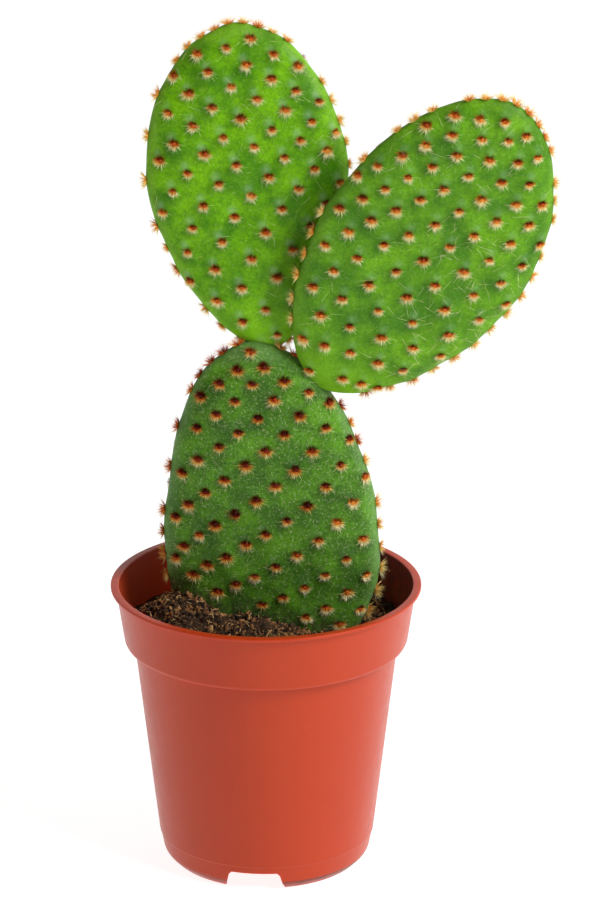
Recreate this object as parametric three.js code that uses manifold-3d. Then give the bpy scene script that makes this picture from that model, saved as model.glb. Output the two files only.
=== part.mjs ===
// Potted paddle cactus: three pads in peat, in a round plastic nursery pot on a notched foot.
// Millimetres, +Z up. The plant faces -Y, and the pot's axis is the construction's Z axis
// until the last step, which puts the origin under the middle of the whole footprint.
import * as THREE from 'three';
import { mergeVertices } from 'three/addons/utils/BufferGeometryUtils.js';
import Module from 'manifold-3d';

const wasm = await Module();
wasm.setup();

const GAP = 0.35; // clearance between neighbouring pieces
const TURN = 2 * Math.PI;
const WELD = 1e-4; // points nearer than this are one

// Pot, measured over its rim
const POT = {
  rimRadius: 52.5,
  height: 98.6,
  lipThickness: 1.1,
  lipWidth: 1.75, // how far the lip stands out past the band
  lipChamfer: 0.3,
  wall: 1.0,
  bandFoot: 78.5, // height of the band's lower edge
  bandTaper: 2.7, // the band's loss of radius from top to bottom
  bandStep: 3.3, // the band's overhang over the body
  bandUnder: 0.3, // how much the band's underside slopes down to the body
  bodyKnee: 9.2, // height of the moulded line near the foot
  kneeRadius: 36.4,
  kneeStep: 0.35, // width of the moulded line
  kneeRise: 0.6,
  footRadius: 32.3,
  footWidth: 1.6,
  chamfer: 2.9, // the slope between the foot and the wall, as wide as it is high
  skirtTop: 7.2, // underside of the floor, above the foot
  skirtDraft: 0.2,
  floor: 1.3,
  floorFillet: 1.5,
  sides: 48,
};
const NOTCH = { count: 3, height: 6.9, top: 16.8, bottom: 20.1, front: -6.5, depth: 16, below: 1 };
const DRAIN = { count: 6, radius: 3.5, ring: 21, length: 8, sides: 10 };

// Soil: its level by the wall, the mounds against the pad, and waves for its lumps
const SOIL = {
  level: 82.3,
  mounds: [
    { x: -29, y: -5, height: 14, reach: 15 },
    { x: -3, y: -13, height: 7, reach: 14 },
  ],
  waves: [
    { x: 0.42, y: 0.37, shift: 1.1, height: 0.6 },
    { x: -0.33, y: 0.81, shift: 0, height: 0.4 },
  ],
  rings: [0.16, 0.31, 0.45, 0.58, 0.7, 0.81, 0.91], // the surface's rings as shares of its radius
};

// Pads. foot: lowest point of the outline. lean: to the right, tilt: backwards, in degrees.
// The outline is an egg: length, width, egg (belly nearer the tip above 0), square and skew.
// The areoles of a face are a spiral lattice: a start and two steps, a and b, each across and up.
// Over i steps a and j steps b the rows curve as the pad grew: bend goes with ii, ij and jj, and
// twist with iii, iij, ijj and jjj. The places across are drawn in to the pad's width there.
const PADS = {
  pad_base: {
    foot: [2.6, 0, 66.2], lean: -3.6, tilt: 0, length: 117.6, width: 74.5,
    egg: -0.175, square: 0.05, skew: 0.036, thickness: 17, curl: 0,
    start: [-4.8, 65.2], a: [7.78, 4.39], b: [-10.89, 7.89],
    bend: [[0.21, 0.22], [-0.14, -0.1], [-0.03, -0.13]],
    twist: [[-0.04, 0.03], [0.2, -0.13], [-0.19, 0.09], [0.09, -0.05]],
    seed: 4217, colour: 0x3f7434,
  },
  pad_left: {
    foot: [1.0, 2.9, 180.4], lean: -6, tilt: 4, length: 109.6, width: 59.6,
    egg: 0.18, square: -0.1, skew: -0.01, thickness: 11.5, curl: 2,
    start: [-2.8, 63.8], a: [5.79, 5.47], b: [-3.39, 10.06],
    bend: [[0.07, -0.15], [0.17, -0.49], [0.08, -0.41]],
    twist: [[-0.02, 0.05], [0.09, 0.21], [0.08, 0.29], [0.02, 0.18]],
    seed: 5117, colour: 0x4f9a26,
  },
  pad_right: {
    foot: [17.9, -1.8, 169.1], lean: 32.2, tilt: -8, length: 119.8, width: 66,
    egg: 0.055, square: -0.07, skew: 0.035, thickness: 12, curl: -2,
    start: [4.8, 67.9], a: [8.2, -4.82], b: [4.58, 8.04],
    bend: [[-0.13, -0.21], [0.06, 0.33], [-0.14, -0.05]],
    twist: [[-0.06, -0.04], [-0.09, 0.04], [-0.05, -0.05], [-0.01, 0.02]],
    seed: 6017, colour: 0x4f9130,
  },
};
const PAD_MESH = { around: 36, rings: [0.42, 0.72, 0.9, 0.975, 1] };
const EDGE = { cross: 2.8, along: 4.5 }; // how square the pad's section is, across and lengthways

// Tufts of bristles: spines round a crown that share one sunk root. upright: the least slope at
// which the downhill direction still turns a tuft.
const TUFT = {
  spines: 3, root: 1.8, radius: 1.1, lift: 0.25, crown: 0.8, reach: 2.6, rise: 2.2, edgeRise: 3.5,
  uneven: 0.2, twist: 0.4, upright: 0.2,
};

// Where the tufts stand: faces out to a share of the outline, edges at steps that close up at the
// tip, none nearer to another than apart, and all clear of the soil and the other pads. room: how
// far past the outline's box the straight lattice still counts.
const AREOLES = {
  span: 9, room: 1.3, jitter: 0.3, faceReach: 0.96, apart: 5.4, edgeApart: 4.6, clear: 1.2, end: 0.02,
  edgeStep: 7.8, crowd: 0.4, crowdPower: 4, walk: 720,
};

// Deterministic random numbers from 0 to 1
function random(seed) {
  let state = seed;
  return () => {
    state = (state * 1664525 + 1013904223) % 4294967296;
    return state / 4294967296;
  };
}

// A closed geometry becomes a solid: shared vertices merged, collapsed triangles dropped
function toSolid(geometry) {
  const bare = geometry.clone();
  bare.deleteAttribute('normal');
  bare.deleteAttribute('uv');
  const merged = mergeVertices(bare, WELD);
  const index = merged.index.array;
  const triangles = [];
  for (let i = 0; i < index.length; i += 3) {
    const [a, b, c] = index.slice(i, i + 3);
    if (a !== b && b !== c && c !== a) triangles.push(a, b, c);
  }
  return new wasm.Manifold(new wasm.Mesh({
    numProp: 3,
    vertProperties: Float32Array.from(merged.attributes.position.array),
    triVerts: Uint32Array.from(triangles),
  }));
}

function fromSolid(solid) {
  const mesh = solid.getMesh();
  const geometry = new THREE.BufferGeometry();
  geometry.setAttribute('position', new THREE.BufferAttribute(mesh.vertProperties, 3));
  geometry.setIndex(new THREE.BufferAttribute(mesh.triVerts, 1));
  geometry.computeVertexNormals();
  return geometry;
}

// A closed skin through rings of equal count, with a pole point at each end
function loft(first, rings, last) {
  const count = rings[0].length;
  const points = [first, ...rings.flat(), last];
  const index = [];
  const at = (ring, k) => 1 + ring * count + (k % count);
  for (let k = 0; k < count; k++) {
    index.push(0, at(0, k), at(0, k + 1));
    for (let ring = 0; ring + 1 < rings.length; ring++) {
      index.push(at(ring, k), at(ring + 1, k), at(ring + 1, k + 1));
      index.push(at(ring, k), at(ring + 1, k + 1), at(ring, k + 1));
    }
    index.push(at(rings.length - 1, k + 1), at(rings.length - 1, k), points.length - 1);
  }
  return new THREE.BufferGeometry().setFromPoints(points).setIndex(index);
}

// The band's radius outside, from its lower edge up to the lip
function bandRadius(z) {
  const top = POT.rimRadius - POT.lipWidth;
  return top - POT.bandTaper * (POT.height - z) / (POT.height - POT.bandFoot);
}

// The inner wall's radius at a height, from the floor to the rim
function innerRadius(z) {
  if (z >= POT.bandFoot) return bandRadius(z) - POT.wall;
  const shoulder = bandRadius(POT.bandFoot) - POT.bandStep;
  const t = (z - POT.bodyKnee) / (POT.bandFoot - POT.bodyKnee);
  return THREE.MathUtils.lerp(POT.kneeRadius, shoulder, t) - POT.wall;
}

// The outline of a half section, up the outside and down the inside
function potProfile() {
  const { rimRadius: rim, height, wall, bandFoot, footRadius: foot, kneeRadius: knee, skirtTop } = POT;
  const [band, bandEnd] = [bandRadius(height), bandRadius(bandFoot)];
  const lip = height - POT.lipThickness;
  const skirt = foot + POT.chamfer - wall;
  const floorTop = skirtTop + POT.floor;
  const fillet = POT.floorFillet;
  const under = [
    [0, skirtTop], [skirt, skirtTop], [skirt - POT.skirtDraft, POT.chamfer + wall / 2],
    [foot - POT.footWidth, 0],
  ];
  const outside = [
    [foot, 0], [foot + POT.chamfer, POT.chamfer],
    [knee, POT.bodyKnee], [knee + POT.kneeStep, POT.bodyKnee + POT.kneeRise],
    [bandEnd - POT.bandStep, bandFoot - POT.bandUnder], [bandEnd, bandFoot],
    [band, lip], [rim, lip], [rim, height - POT.lipChamfer],
  ];
  const inside = [
    [rim - POT.lipChamfer, height], [band - wall, height], [bandEnd - wall, bandFoot + wall],
    [innerRadius(bandFoot - wall), bandFoot - wall], [innerRadius(floorTop + fillet), floorTop + fillet],
    [innerRadius(floorTop) - fillet, floorTop], [0, floorTop],
  ];
  return [...under, ...outside, ...inside].map(([r, z]) => new THREE.Vector2(r, z));
}

// The block that cuts one notch from the foot, wider at the bottom than at its top
function notchBlock(angle) {
  const [low, high, top, under] = [NOTCH.bottom / 2, NOTCH.top / 2, NOTCH.height, -NOTCH.below];
  const corners = [[-low, under], [low, under], [low, 0], [high, top], [-high, top], [-low, 0]];
  const outline = new THREE.Shape(corners.map(([x, y]) => new THREE.Vector2(x, y)));
  const block = new THREE.ExtrudeGeometry(outline, { depth: NOTCH.depth, bevelEnabled: false });
  block.rotateX(Math.PI / 2);
  block.translate(0, -POT.footRadius + NOTCH.depth / 2, 0);
  return block.rotateZ(angle);
}

function buildPot() {
  const start = THREE.MathUtils.degToRad(NOTCH.front);
  let pot = toSolid(new THREE.LatheGeometry(potProfile(), POT.sides).rotateX(Math.PI / 2));
  for (let k = 0; k < NOTCH.count; k++) {
    pot = pot.subtract(toSolid(notchBlock(start + k * TURN / NOTCH.count)));
  }
  for (let k = 0; k < DRAIN.count; k++) {
    const drain = new THREE.CylinderGeometry(DRAIN.radius, DRAIN.radius, DRAIN.length, DRAIN.sides);
    drain.rotateX(Math.PI / 2).translate(0, -DRAIN.ring, POT.skirtTop);
    drain.rotateZ(start + k * TURN / DRAIN.count);
    pot = pot.subtract(toSolid(drain));
  }
  return pot;
}

// Height of the soil at a point
function soilTop(x, y) {
  let height = SOIL.level;
  for (const mound of SOIL.mounds) {
    height += mound.height * Math.exp(-((x - mound.x) ** 2 + (y - mound.y) ** 2) / mound.reach ** 2);
  }
  for (const wave of SOIL.waves) height += wave.height * Math.sin(wave.x * x + wave.y * y + wave.shift);
  return height;
}

// One ring of the soil's skin, with its radius and height given by functions
function soilRing(radiusAt, heightAt) {
  return Array.from({ length: POT.sides }, (_, k) => {
    const angle = k * TURN / POT.sides;
    const [c, s] = [Math.cos(angle), Math.sin(angle)];
    const z = heightAt(c, s);
    const r = radiusAt(z);
    return new THREE.Vector3(r * c, r * s, z);
  });
}

function buildSoil() {
  const reach = innerRadius(SOIL.level) - GAP;
  const bottom = POT.skirtTop + POT.floor + GAP;
  const surface = (r) => (c, s) => soilTop(r * c, r * s);
  const rings = SOIL.rings.map((share) => soilRing(() => share * reach, surface(share * reach)));
  rings.push(soilRing((z) => innerRadius(z) - GAP, surface(reach)));
  const [above, below] = [POT.bandFoot + POT.wall, POT.bandFoot - POT.wall];
  const fillet = POT.floorFillet + GAP;
  const wall = [
    [innerRadius(POT.bandFoot) - GAP, above + 2 * GAP], [innerRadius(below) - GAP, below + 2 * GAP],
    [innerRadius(bottom + fillet) - GAP, bottom + fillet], [innerRadius(bottom) - fillet, bottom],
  ];
  for (const [r, z] of wall) rings.push(soilRing(() => r, () => z));
  const top = new THREE.Vector3(0, 0, soilTop(0, 0));
  return toSolid(loft(top, rings, new THREE.Vector3(0, 0, bottom)));
}

// A pad's own frame: x across, y away from the viewer, z along the pad from its foot
function padMatrix(pad) {
  const rad = THREE.MathUtils.degToRad;
  const turn = new THREE.Euler(-rad(pad.tilt), rad(pad.lean), 0, 'ZXY');
  return new THREE.Matrix4().makeRotationFromEuler(turn).setPosition(...pad.foot);
}

// The egg outline by the angle round it, 0 at the foot and half a turn at the tip
function outlinePoint(pad, angle) {
  const along = (1 - Math.cos(angle)) / 2;
  const swell = 1 - pad.egg * Math.cos(angle) + pad.square * Math.cos(2 * angle);
  const across = 0.5 * pad.width * Math.sin(angle) * swell + padMiddle(pad, along);
  return new THREE.Vector2(across, pad.length * along);
}

function padMiddle(pad, along) {
  return pad.skew * pad.width * 4 * along * (1 - along);
}

function halfWidth(pad, along) {
  return outlinePoint(pad, Math.acos(1 - 2 * along)).x - padMiddle(pad, along);
}

// Half the pad's thickness at a point of its face, 0 outside the outline
function halfThickness(pad, across, height) {
  const along = height / pad.length;
  if (along <= 0 || along >= 1) return 0;
  const side = Math.abs((across - padMiddle(pad, along)) / halfWidth(pad, along));
  if (side >= 1) return 0;
  const lengthways = 1 - Math.abs(2 * along - 1) ** EDGE.along;
  return 0.5 * pad.thickness * Math.sqrt((1 - side ** EDGE.cross) * lengthways);
}

// A point of the pad's skin, side -1 in front and 1 behind
function skinPoint(pad, across, height, side) {
  const curl = pad.curl * (height / pad.length) ** 2;
  return new THREE.Vector3(across, side * halfThickness(pad, across, height) + curl, height);
}

function skinNormal(pad, across, height, side) {
  const step = 0.2;
  const here = skinPoint(pad, across, height, side);
  const right = skinPoint(pad, across + step, height, side).sub(here);
  const up = skinPoint(pad, across, height + step, side).sub(here);
  return right.cross(up).multiplyScalar(-side).normalize();
}

// The pad's sizes grown by a margin all round
function grow(pad, margin) {
  const extra = 2 * margin;
  return { ...pad, length: pad.length + extra, width: pad.width + extra, thickness: pad.thickness + extra };
}

// The pad without its tufts, grown by a margin
function padBody(pad, margin = 0) {
  const grown = grow(pad, margin);
  const centre = new THREE.Vector2(padMiddle(grown, 0.5), grown.length / 2);
  const ring = (reach, side) => Array.from({ length: PAD_MESH.around }, (_, k) => {
    const p = outlinePoint(grown, k * TURN / PAD_MESH.around).sub(centre).multiplyScalar(reach).add(centre);
    return reach < 1 ? skinPoint(grown, p.x, p.y, side) : skinPoint(grown, p.x, p.y, 0);
  });
  const front = PAD_MESH.rings.map((reach) => ring(reach, -1));
  const back = PAD_MESH.rings.slice(0, -1).reverse().map((reach) => ring(reach, 1));
  const pole = (side) => skinPoint(grown, centre.x, centre.y, side);
  const geometry = loft(pole(-1), [...front, ...back], pole(1)).translate(0, 0, -margin);
  return toSolid(geometry.applyMatrix4(padMatrix(pad)));
}

// Whether a point lies in a pad or within a margin of it
function insidePad(pad, point, margin) {
  const local = point.clone().applyMatrix4(padMatrix(pad).invert());
  const curl = pad.curl * (local.z / pad.length) ** 2;
  return Math.abs(local.y - curl) < halfThickness(grow(pad, margin), local.x, local.z + margin);
}

// Whether the straight lattice has a place on the pad or near it
function onLattice(pad, i, j) {
  const across = pad.start[0] + i * pad.a[0] + j * pad.b[0];
  const height = pad.start[1] + i * pad.a[1] + j * pad.b[1] - pad.length / 2;
  return 2 * Math.abs(across) <= AREOLES.room * pad.width
    && 2 * Math.abs(height) <= AREOLES.room * pad.length;
}

// A place on a face's bent lattice by its two step counts, drawn in to the pad's width there.
// The back carries the front's mirror image.
function latticePlace(pad, side, i, j) {
  const counts = [1, i, j, i * i, i * j, j * j, i ** 3, i * i * j, i * j * j, j ** 3];
  const steps = [pad.start, pad.a, pad.b, ...pad.bend, ...pad.twist];
  const [across, height] = [0, 1].map((axis) => (
    steps.reduce((sum, step, k) => sum + counts[k] * step[axis], 0)));
  const along = THREE.MathUtils.clamp(height / pad.length, AREOLES.end, 1 - AREOLES.end);
  const share = halfWidth(pad, along) / (pad.width / 2);
  return new THREE.Vector2(padMiddle(pad, along) - side * across * share, height);
}

// The areoles of one face: where the lattice falls inside the outline
function faceSpots(pad, side, draw) {
  const centre = new THREE.Vector2(padMiddle(pad, 0.5), pad.length / 2);
  const spots = [];
  for (let i = -AREOLES.span; i <= AREOLES.span; i++) {
    for (let j = -AREOLES.span; j <= AREOLES.span; j++) {
      if (!onLattice(pad, i, j)) continue;
      const place = latticePlace(pad, side, i, j);
      place.x += AREOLES.jitter * (2 * draw() - 1);
      place.y += AREOLES.jitter * (2 * draw() - 1);
      const outer = place.clone().sub(centre).divideScalar(AREOLES.faceReach).add(centre);
      if (halfThickness(pad, outer.x, outer.y) === 0) continue;
      const at = skinPoint(pad, place.x, place.y, side);
      if (spots.some((spot) => spot.at.distanceTo(at) < AREOLES.apart)) continue;
      spots.push({ at, normal: skinNormal(pad, place.x, place.y, side), rise: TUFT.rise });
    }
  }
  return spots;
}

// The areoles along the edge that stand clear of those on the faces
function edgeSpots(pad, faces) {
  const spots = [];
  let travelled = 0;
  let last = outlinePoint(pad, 0);
  for (let k = 1; k < AREOLES.walk; k++) {
    const here = outlinePoint(pad, k * TURN / AREOLES.walk);
    travelled += here.distanceTo(last);
    if (travelled >= AREOLES.edgeStep * (1 - AREOLES.crowd * (here.y / pad.length) ** AREOLES.crowdPower)) {
      travelled = 0;
      const tangent = here.clone().sub(last).normalize();
      const normal = new THREE.Vector3(tangent.y, 0, -tangent.x);
      const at = skinPoint(pad, here.x, here.y, 0);
      const close = faces.some((spot) => spot.at.distanceTo(at) < AREOLES.edgeApart);
      if (!close) spots.push({ at, normal, rise: TUFT.edgeRise });
    }
    last = here;
  }
  return spots;
}

// One tuft: a root that narrows to a point under the skin, and spines round its crown
function tuftGeometry(spot, draw) {
  const down = new THREE.Vector3(0, 0, -1);
  const side = new THREE.Vector3().crossVectors(spot.normal, down);
  if (side.length() < TUFT.upright) side.set(0, 1, 0);
  side.normalize();
  const ahead = new THREE.Vector3().crossVectors(side, spot.normal).normalize();
  const place = (angle, radius, lift) => spot.at.clone().addScaledVector(spot.normal, lift)
    .addScaledVector(ahead, radius * Math.cos(angle)).addScaledVector(side, radius * Math.sin(angle));
  const vary = () => 1 + TUFT.uneven * (2 * draw() - 1);
  const turn = TUFT.twist * (2 * draw() - 1);
  const step = TURN / TUFT.spines;
  const crown = [];
  const tips = [];
  for (let k = 0; k < TUFT.spines; k++) {
    crown.push(place(turn + (k - 0.5) * step, TUFT.radius, TUFT.lift));
    tips.push(place(turn + k * step, TUFT.reach * vary(), spot.rise * vary()));
  }
  const points = [place(0, 0, -TUFT.root), place(0, 0, TUFT.crown), ...crown, ...tips];
  const index = [];
  for (let k = 0; k < TUFT.spines; k++) {
    const [near, far, tip] = [2 + k, 2 + (k + 1) % TUFT.spines, 2 + TUFT.spines + k];
    index.push(0, far, near, near, far, tip, far, 1, tip, 1, near, tip);
  }
  return { geometry: new THREE.BufferGeometry().setFromPoints(points).setIndex(index), points };
}

// Adds the tufts that stand clear of the soil and of the other pads
function withTufts(name, body) {
  const pad = PADS[name];
  const others = Object.keys(PADS).filter((key) => key !== name).map((key) => PADS[key]);
  const draw = random(pad.seed);
  const place = padMatrix(pad);
  const faces = [...faceSpots(pad, -1, draw), ...faceSpots(pad, 1, draw)];
  let solid = body;
  for (const spot of [...faces, ...edgeSpots(pad, faces)]) {
    const { geometry, points } = tuftGeometry(spot, draw);
    const placed = points.map((p) => p.clone().applyMatrix4(place));
    const buried = placed.some((p) => p.z < soilTop(p.x, p.y) + AREOLES.clear);
    const crowded = placed.some((p) => others.some((other) => insidePad(other, p, AREOLES.clear)));
    if (!buried && !crowded) solid = solid.add(toSolid(geometry.applyMatrix4(place)));
  }
  return solid;
}

function piece(name, solid, colour, roughness) {
  const material = new THREE.MeshStandardMaterial({ color: colour, roughness, metalness: 0 });
  const mesh = new THREE.Mesh(fromSolid(solid), material);
  mesh.name = name;
  return mesh;
}

const base = padBody(PADS.pad_base);
const seat = padBody(PADS.pad_base, GAP);
const plant = new THREE.Group();
plant.add(piece('pot', buildPot(), 0xc0502f, 0.35));
plant.add(piece('soil', buildSoil().subtract(seat), 0x3a2a20, 0.95));
plant.add(piece('pad_base', withTufts('pad_base', base), PADS.pad_base.colour, 0.6));
for (const name of ['pad_left', 'pad_right']) {
  const body = padBody(PADS[name]).subtract(seat);
  plant.add(piece(name, withTufts(name, body), PADS[name].colour, 0.5));
}

// The origin goes under the middle of the footprint, at the height of the feet
const box = new THREE.Box3().setFromObject(plant);
plant.position.set(-(box.min.x + box.max.x) / 2, -(box.min.y + box.max.y) / 2, -box.min.z);

export default plant;
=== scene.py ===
"""Potted paddle cactus: three pads with bristle tufts, in peat, in a plastic nursery pot.

Lengths are millimetres from the pot's axis at the height of its feet. The last step of each
mesh moves its points into the frame, in metres.
"""

import logging
import math
from collections.abc import Callable, Iterator
from dataclasses import dataclass, field
from enum import Enum

import bpy
import numpy as np
from mathutils import Euler, Matrix, Vector


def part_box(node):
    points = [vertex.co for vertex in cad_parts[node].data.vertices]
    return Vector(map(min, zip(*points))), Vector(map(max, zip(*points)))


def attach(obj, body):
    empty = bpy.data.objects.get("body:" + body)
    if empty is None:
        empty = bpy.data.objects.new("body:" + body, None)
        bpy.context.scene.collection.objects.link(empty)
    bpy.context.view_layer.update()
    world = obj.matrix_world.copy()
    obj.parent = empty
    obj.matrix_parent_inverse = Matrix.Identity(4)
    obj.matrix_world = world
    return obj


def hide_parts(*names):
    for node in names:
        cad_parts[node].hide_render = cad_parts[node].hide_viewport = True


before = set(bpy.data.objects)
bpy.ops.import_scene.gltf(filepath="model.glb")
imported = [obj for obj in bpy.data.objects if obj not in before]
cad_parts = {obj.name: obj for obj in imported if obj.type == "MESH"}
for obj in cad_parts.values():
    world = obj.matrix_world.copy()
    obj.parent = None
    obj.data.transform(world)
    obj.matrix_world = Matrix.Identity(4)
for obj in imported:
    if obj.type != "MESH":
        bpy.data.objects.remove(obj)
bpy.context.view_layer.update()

log = logging.getLogger("cactus")

MM = 0.001
TURN = 2.0 * math.pi
BODY = "root"
Array = np.ndarray


# Shared helpers


def linear(code: str) -> tuple[float, float, float, float]:
    """Turn an sRGB hex value into linear colour.

    Args:
        code: a hash mark and six hex digits.

    Returns:
        Linear red, green and blue, with alpha 1.
    """
    channels = [int(code[i : i + 2], 16) / 255.0 for i in (1, 3, 5)]
    red, green, blue = (c / 12.92 if c <= 0.04045 else ((c + 0.055) / 1.055) ** 2.4 for c in channels)
    return red, green, blue, 1.0


def per_mm(size: float) -> float:
    """Return the texture scale that makes a pattern's features about size millimetres wide."""
    return 1.0 / (size * MM)


class Nodes:
    """A node tree that is built one node at a time."""

    def __init__(self, tree: bpy.types.NodeTree) -> None:
        """Take the tree, which starts empty."""
        self.tree = tree
        tree.nodes.clear()

    def add(self, kind: str, *values: object, links: dict | None = None, stops: dict | None = None,
            **settings: object) -> bpy.types.Node:
        """Add a node with its settings, its values and its links.

        Args:
            kind: the node's type name.
            values: what the node's live inputs take, in their order: a value, a socket, or a node, which
                stands for its first live output.
            links: the same for single inputs, by socket identifier.
            stops: for a colour ramp, hex colours by position.
            settings: the node's own properties.

        Returns:
            The new node.
        """
        node = self.tree.nodes.new(kind)
        for name, value in settings.items():
            setattr(node, name, value)
        live = [socket for socket in node.inputs if socket.enabled]
        by_name = {socket.identifier: socket for socket in node.inputs}
        wanted = [*zip(live, values), *((by_name[name], value) for name, value in (links or {}).items())]
        for socket, value in wanted:
            if isinstance(value, bpy.types.Node):
                value = next(output for output in value.outputs if output.enabled)
            if isinstance(value, bpy.types.NodeSocket):
                self.tree.links.new(value, socket)
            else:
                socket.default_value = value
        for k, (place, code) in enumerate((stops or {}).items()):
            elements = node.color_ramp.elements
            stop = elements[k] if k < len(elements) else elements.new(place)
            stop.position = place
            stop.color = linear(code)
        return node


def smooth(low: float, high: float, values: Array) -> Array:
    """Return 0 below low, 1 above high and a smooth step between."""
    t = np.clip((values - low) / (high - low), 0.0, 1.0)
    return t * t * (3.0 - 2.0 * t)


def pot_axis() -> Array:
    """Return the pot's axis in the frame, in millimetres, at the height of its feet."""
    low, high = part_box("pot")
    return np.array([(low.x + high.x) / 2.0, (low.y + high.y) / 2.0, low.z]) / MM


def to_frame(points: Array) -> Array:
    """Move points from the pot's axis, in millimetres, into the frame, in metres."""
    return (points + pot_axis()) * MM


def new_mesh(name: str, points: Array, faces: list) -> bpy.types.Mesh:
    """Make a smooth mesh in the frame from points in millimetres.

    Args:
        name: the mesh's name.
        points: rows of x, y, z from the pot's axis.
        faces: tuples of point numbers.

    Returns:
        The mesh, with its faces turned outwards.
    """
    mesh = bpy.data.meshes.new(name)
    mesh.from_pydata(to_frame(points).tolist(), [], faces)
    mesh.validate()
    mesh.shade_smooth()
    return mesh


def new_object(data: bpy.types.ID, name: str) -> bpy.types.Object:
    """Put a mesh, a lamp or a camera in the scene as an object at the origin.

    Args:
        data: the object's mesh, lamp or camera.
        name: the object's name.

    Returns:
        The object.
    """
    made = bpy.data.objects.new(name, data)
    bpy.context.scene.collection.objects.link(made)
    return made


def store(mesh: bpy.types.Mesh, name: str, values: Array) -> None:
    """Store one number, or one vector, for each point of a mesh.

    Args:
        mesh: the mesh that takes the attribute.
        name: the attribute's name.
        values: a number or a row of three for each point.
    """
    kind, slot = ("FLOAT_VECTOR", "vector") if values.ndim == 2 else ("FLOAT", "value")
    layer = mesh.attributes.new(name, kind, "POINT")
    layer.data.foreach_set(slot, np.ascontiguousarray(values, np.float32).ravel())


def lofted(first: Array, rings: list[Array], last: Array) -> tuple[Array, list]:
    """Close a skin through rings of equal count, with a point at each end.

    Args:
        first: the point that closes the first ring.
        rings: arrays of points, each ring going round the same way.
        last: the point that closes the last ring.

    Returns:
        The points and the faces.
    """
    count = len(rings[0])
    points = np.vstack([first[None], *rings, last[None]])
    faces = []
    end = len(points) - 1
    for k in range(count):
        step = (k + 1) % count
        faces.append((0, 1 + k, 1 + step))
        for ring in range(len(rings) - 1):
            low, high = 1 + ring * count, 1 + (ring + 1) * count
            faces.append((low + k, high + k, high + step, low + step))
        low = 1 + (len(rings) - 1) * count
        faces.append((low + step, low + k, end))
    return points, faces


def discard(piece: bpy.types.Object) -> None:
    """Remove an object and its mesh.

    Args:
        piece: the object.
    """
    mesh = piece.data
    bpy.data.objects.remove(piece)
    bpy.data.meshes.remove(mesh)


def applied(source: bpy.types.Object, name: str) -> bpy.types.Object:
    """Turn an object's evaluated result into a plain mesh and remove the source.

    Args:
        source: an object with modifiers.
        name: the finished object's name.

    Returns:
        The finished object, without modifiers.
    """
    bpy.context.view_layer.update()
    graph = bpy.context.evaluated_depsgraph_get()
    mesh = bpy.data.meshes.new_from_object(source.evaluated_get(graph), depsgraph=graph)
    mesh.name = name
    discard(source)
    return new_object(mesh, name)


def finished(piece: bpy.types.Object, slot: str, *nodes: str) -> bpy.types.Object:
    """Attach a finished piece to what it rides on, hide the CAD nodes that it stands for and log its faces.

    Args:
        piece: the finished object.
        slot: not used.
        nodes: the CAD nodes that the piece replaces.

    Returns:
        The same object.
    """
    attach(piece, BODY)
    if nodes:
        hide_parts(*nodes)
    log.info("%s: %d faces", piece.name, len(piece.data.polygons))
    return piece


class Draw:
    """The same row of random numbers that the part's own tufts are placed by."""

    factor = 1664525
    shift = 1013904223
    span = 2**32

    def __init__(self, seed: int) -> None:
        """Start the row at a seed."""
        self.state = seed

    def __call__(self) -> float:
        """Return the next number from 0 to 1."""
        self.state = (self.state * self.factor + self.shift) % self.span
        return self.state / self.span


# Finishes


class Finish:
    """What all finishes share: a material with one shader, patterned on its piece's own coordinates."""

    name: str

    def material(self) -> bpy.types.Material:
        """Make the material.

        Returns:
            The material, with its nodes.
        """
        made = bpy.data.materials.new(self.name)
        made.use_nodes = True
        nodes = Nodes(made.node_tree)
        place = nodes.add("ShaderNodeTexCoord").outputs["Object"]
        shader = nodes.add("ShaderNodeBsdfPrincipled", links=self.looks(nodes, place))
        nodes.add("ShaderNodeOutputMaterial", links={"Surface": shader})
        return made

    def looks(self, nodes: Nodes, place: bpy.types.NodeSocket) -> dict:
        """Add the finish's own nodes and return the shader's inputs by socket identifier."""
        raise NotImplementedError

    @staticmethod
    def painted(nodes: Nodes, ground: str, *layers: tuple[bpy.types.Node, str]) -> bpy.types.Node:
        """Lay colours over one another.

        Args:
            nodes: the material's nodes.
            ground: the hex colour under all.
            layers: for each colour over it, the node of its share and its hex value.

        Returns:
            The node of the colour that is seen.
        """
        colour = linear(ground)
        for share, code in layers:
            colour = nodes.add("ShaderNodeMix", share, colour, linear(code), data_type="RGBA")
        return colour


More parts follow.
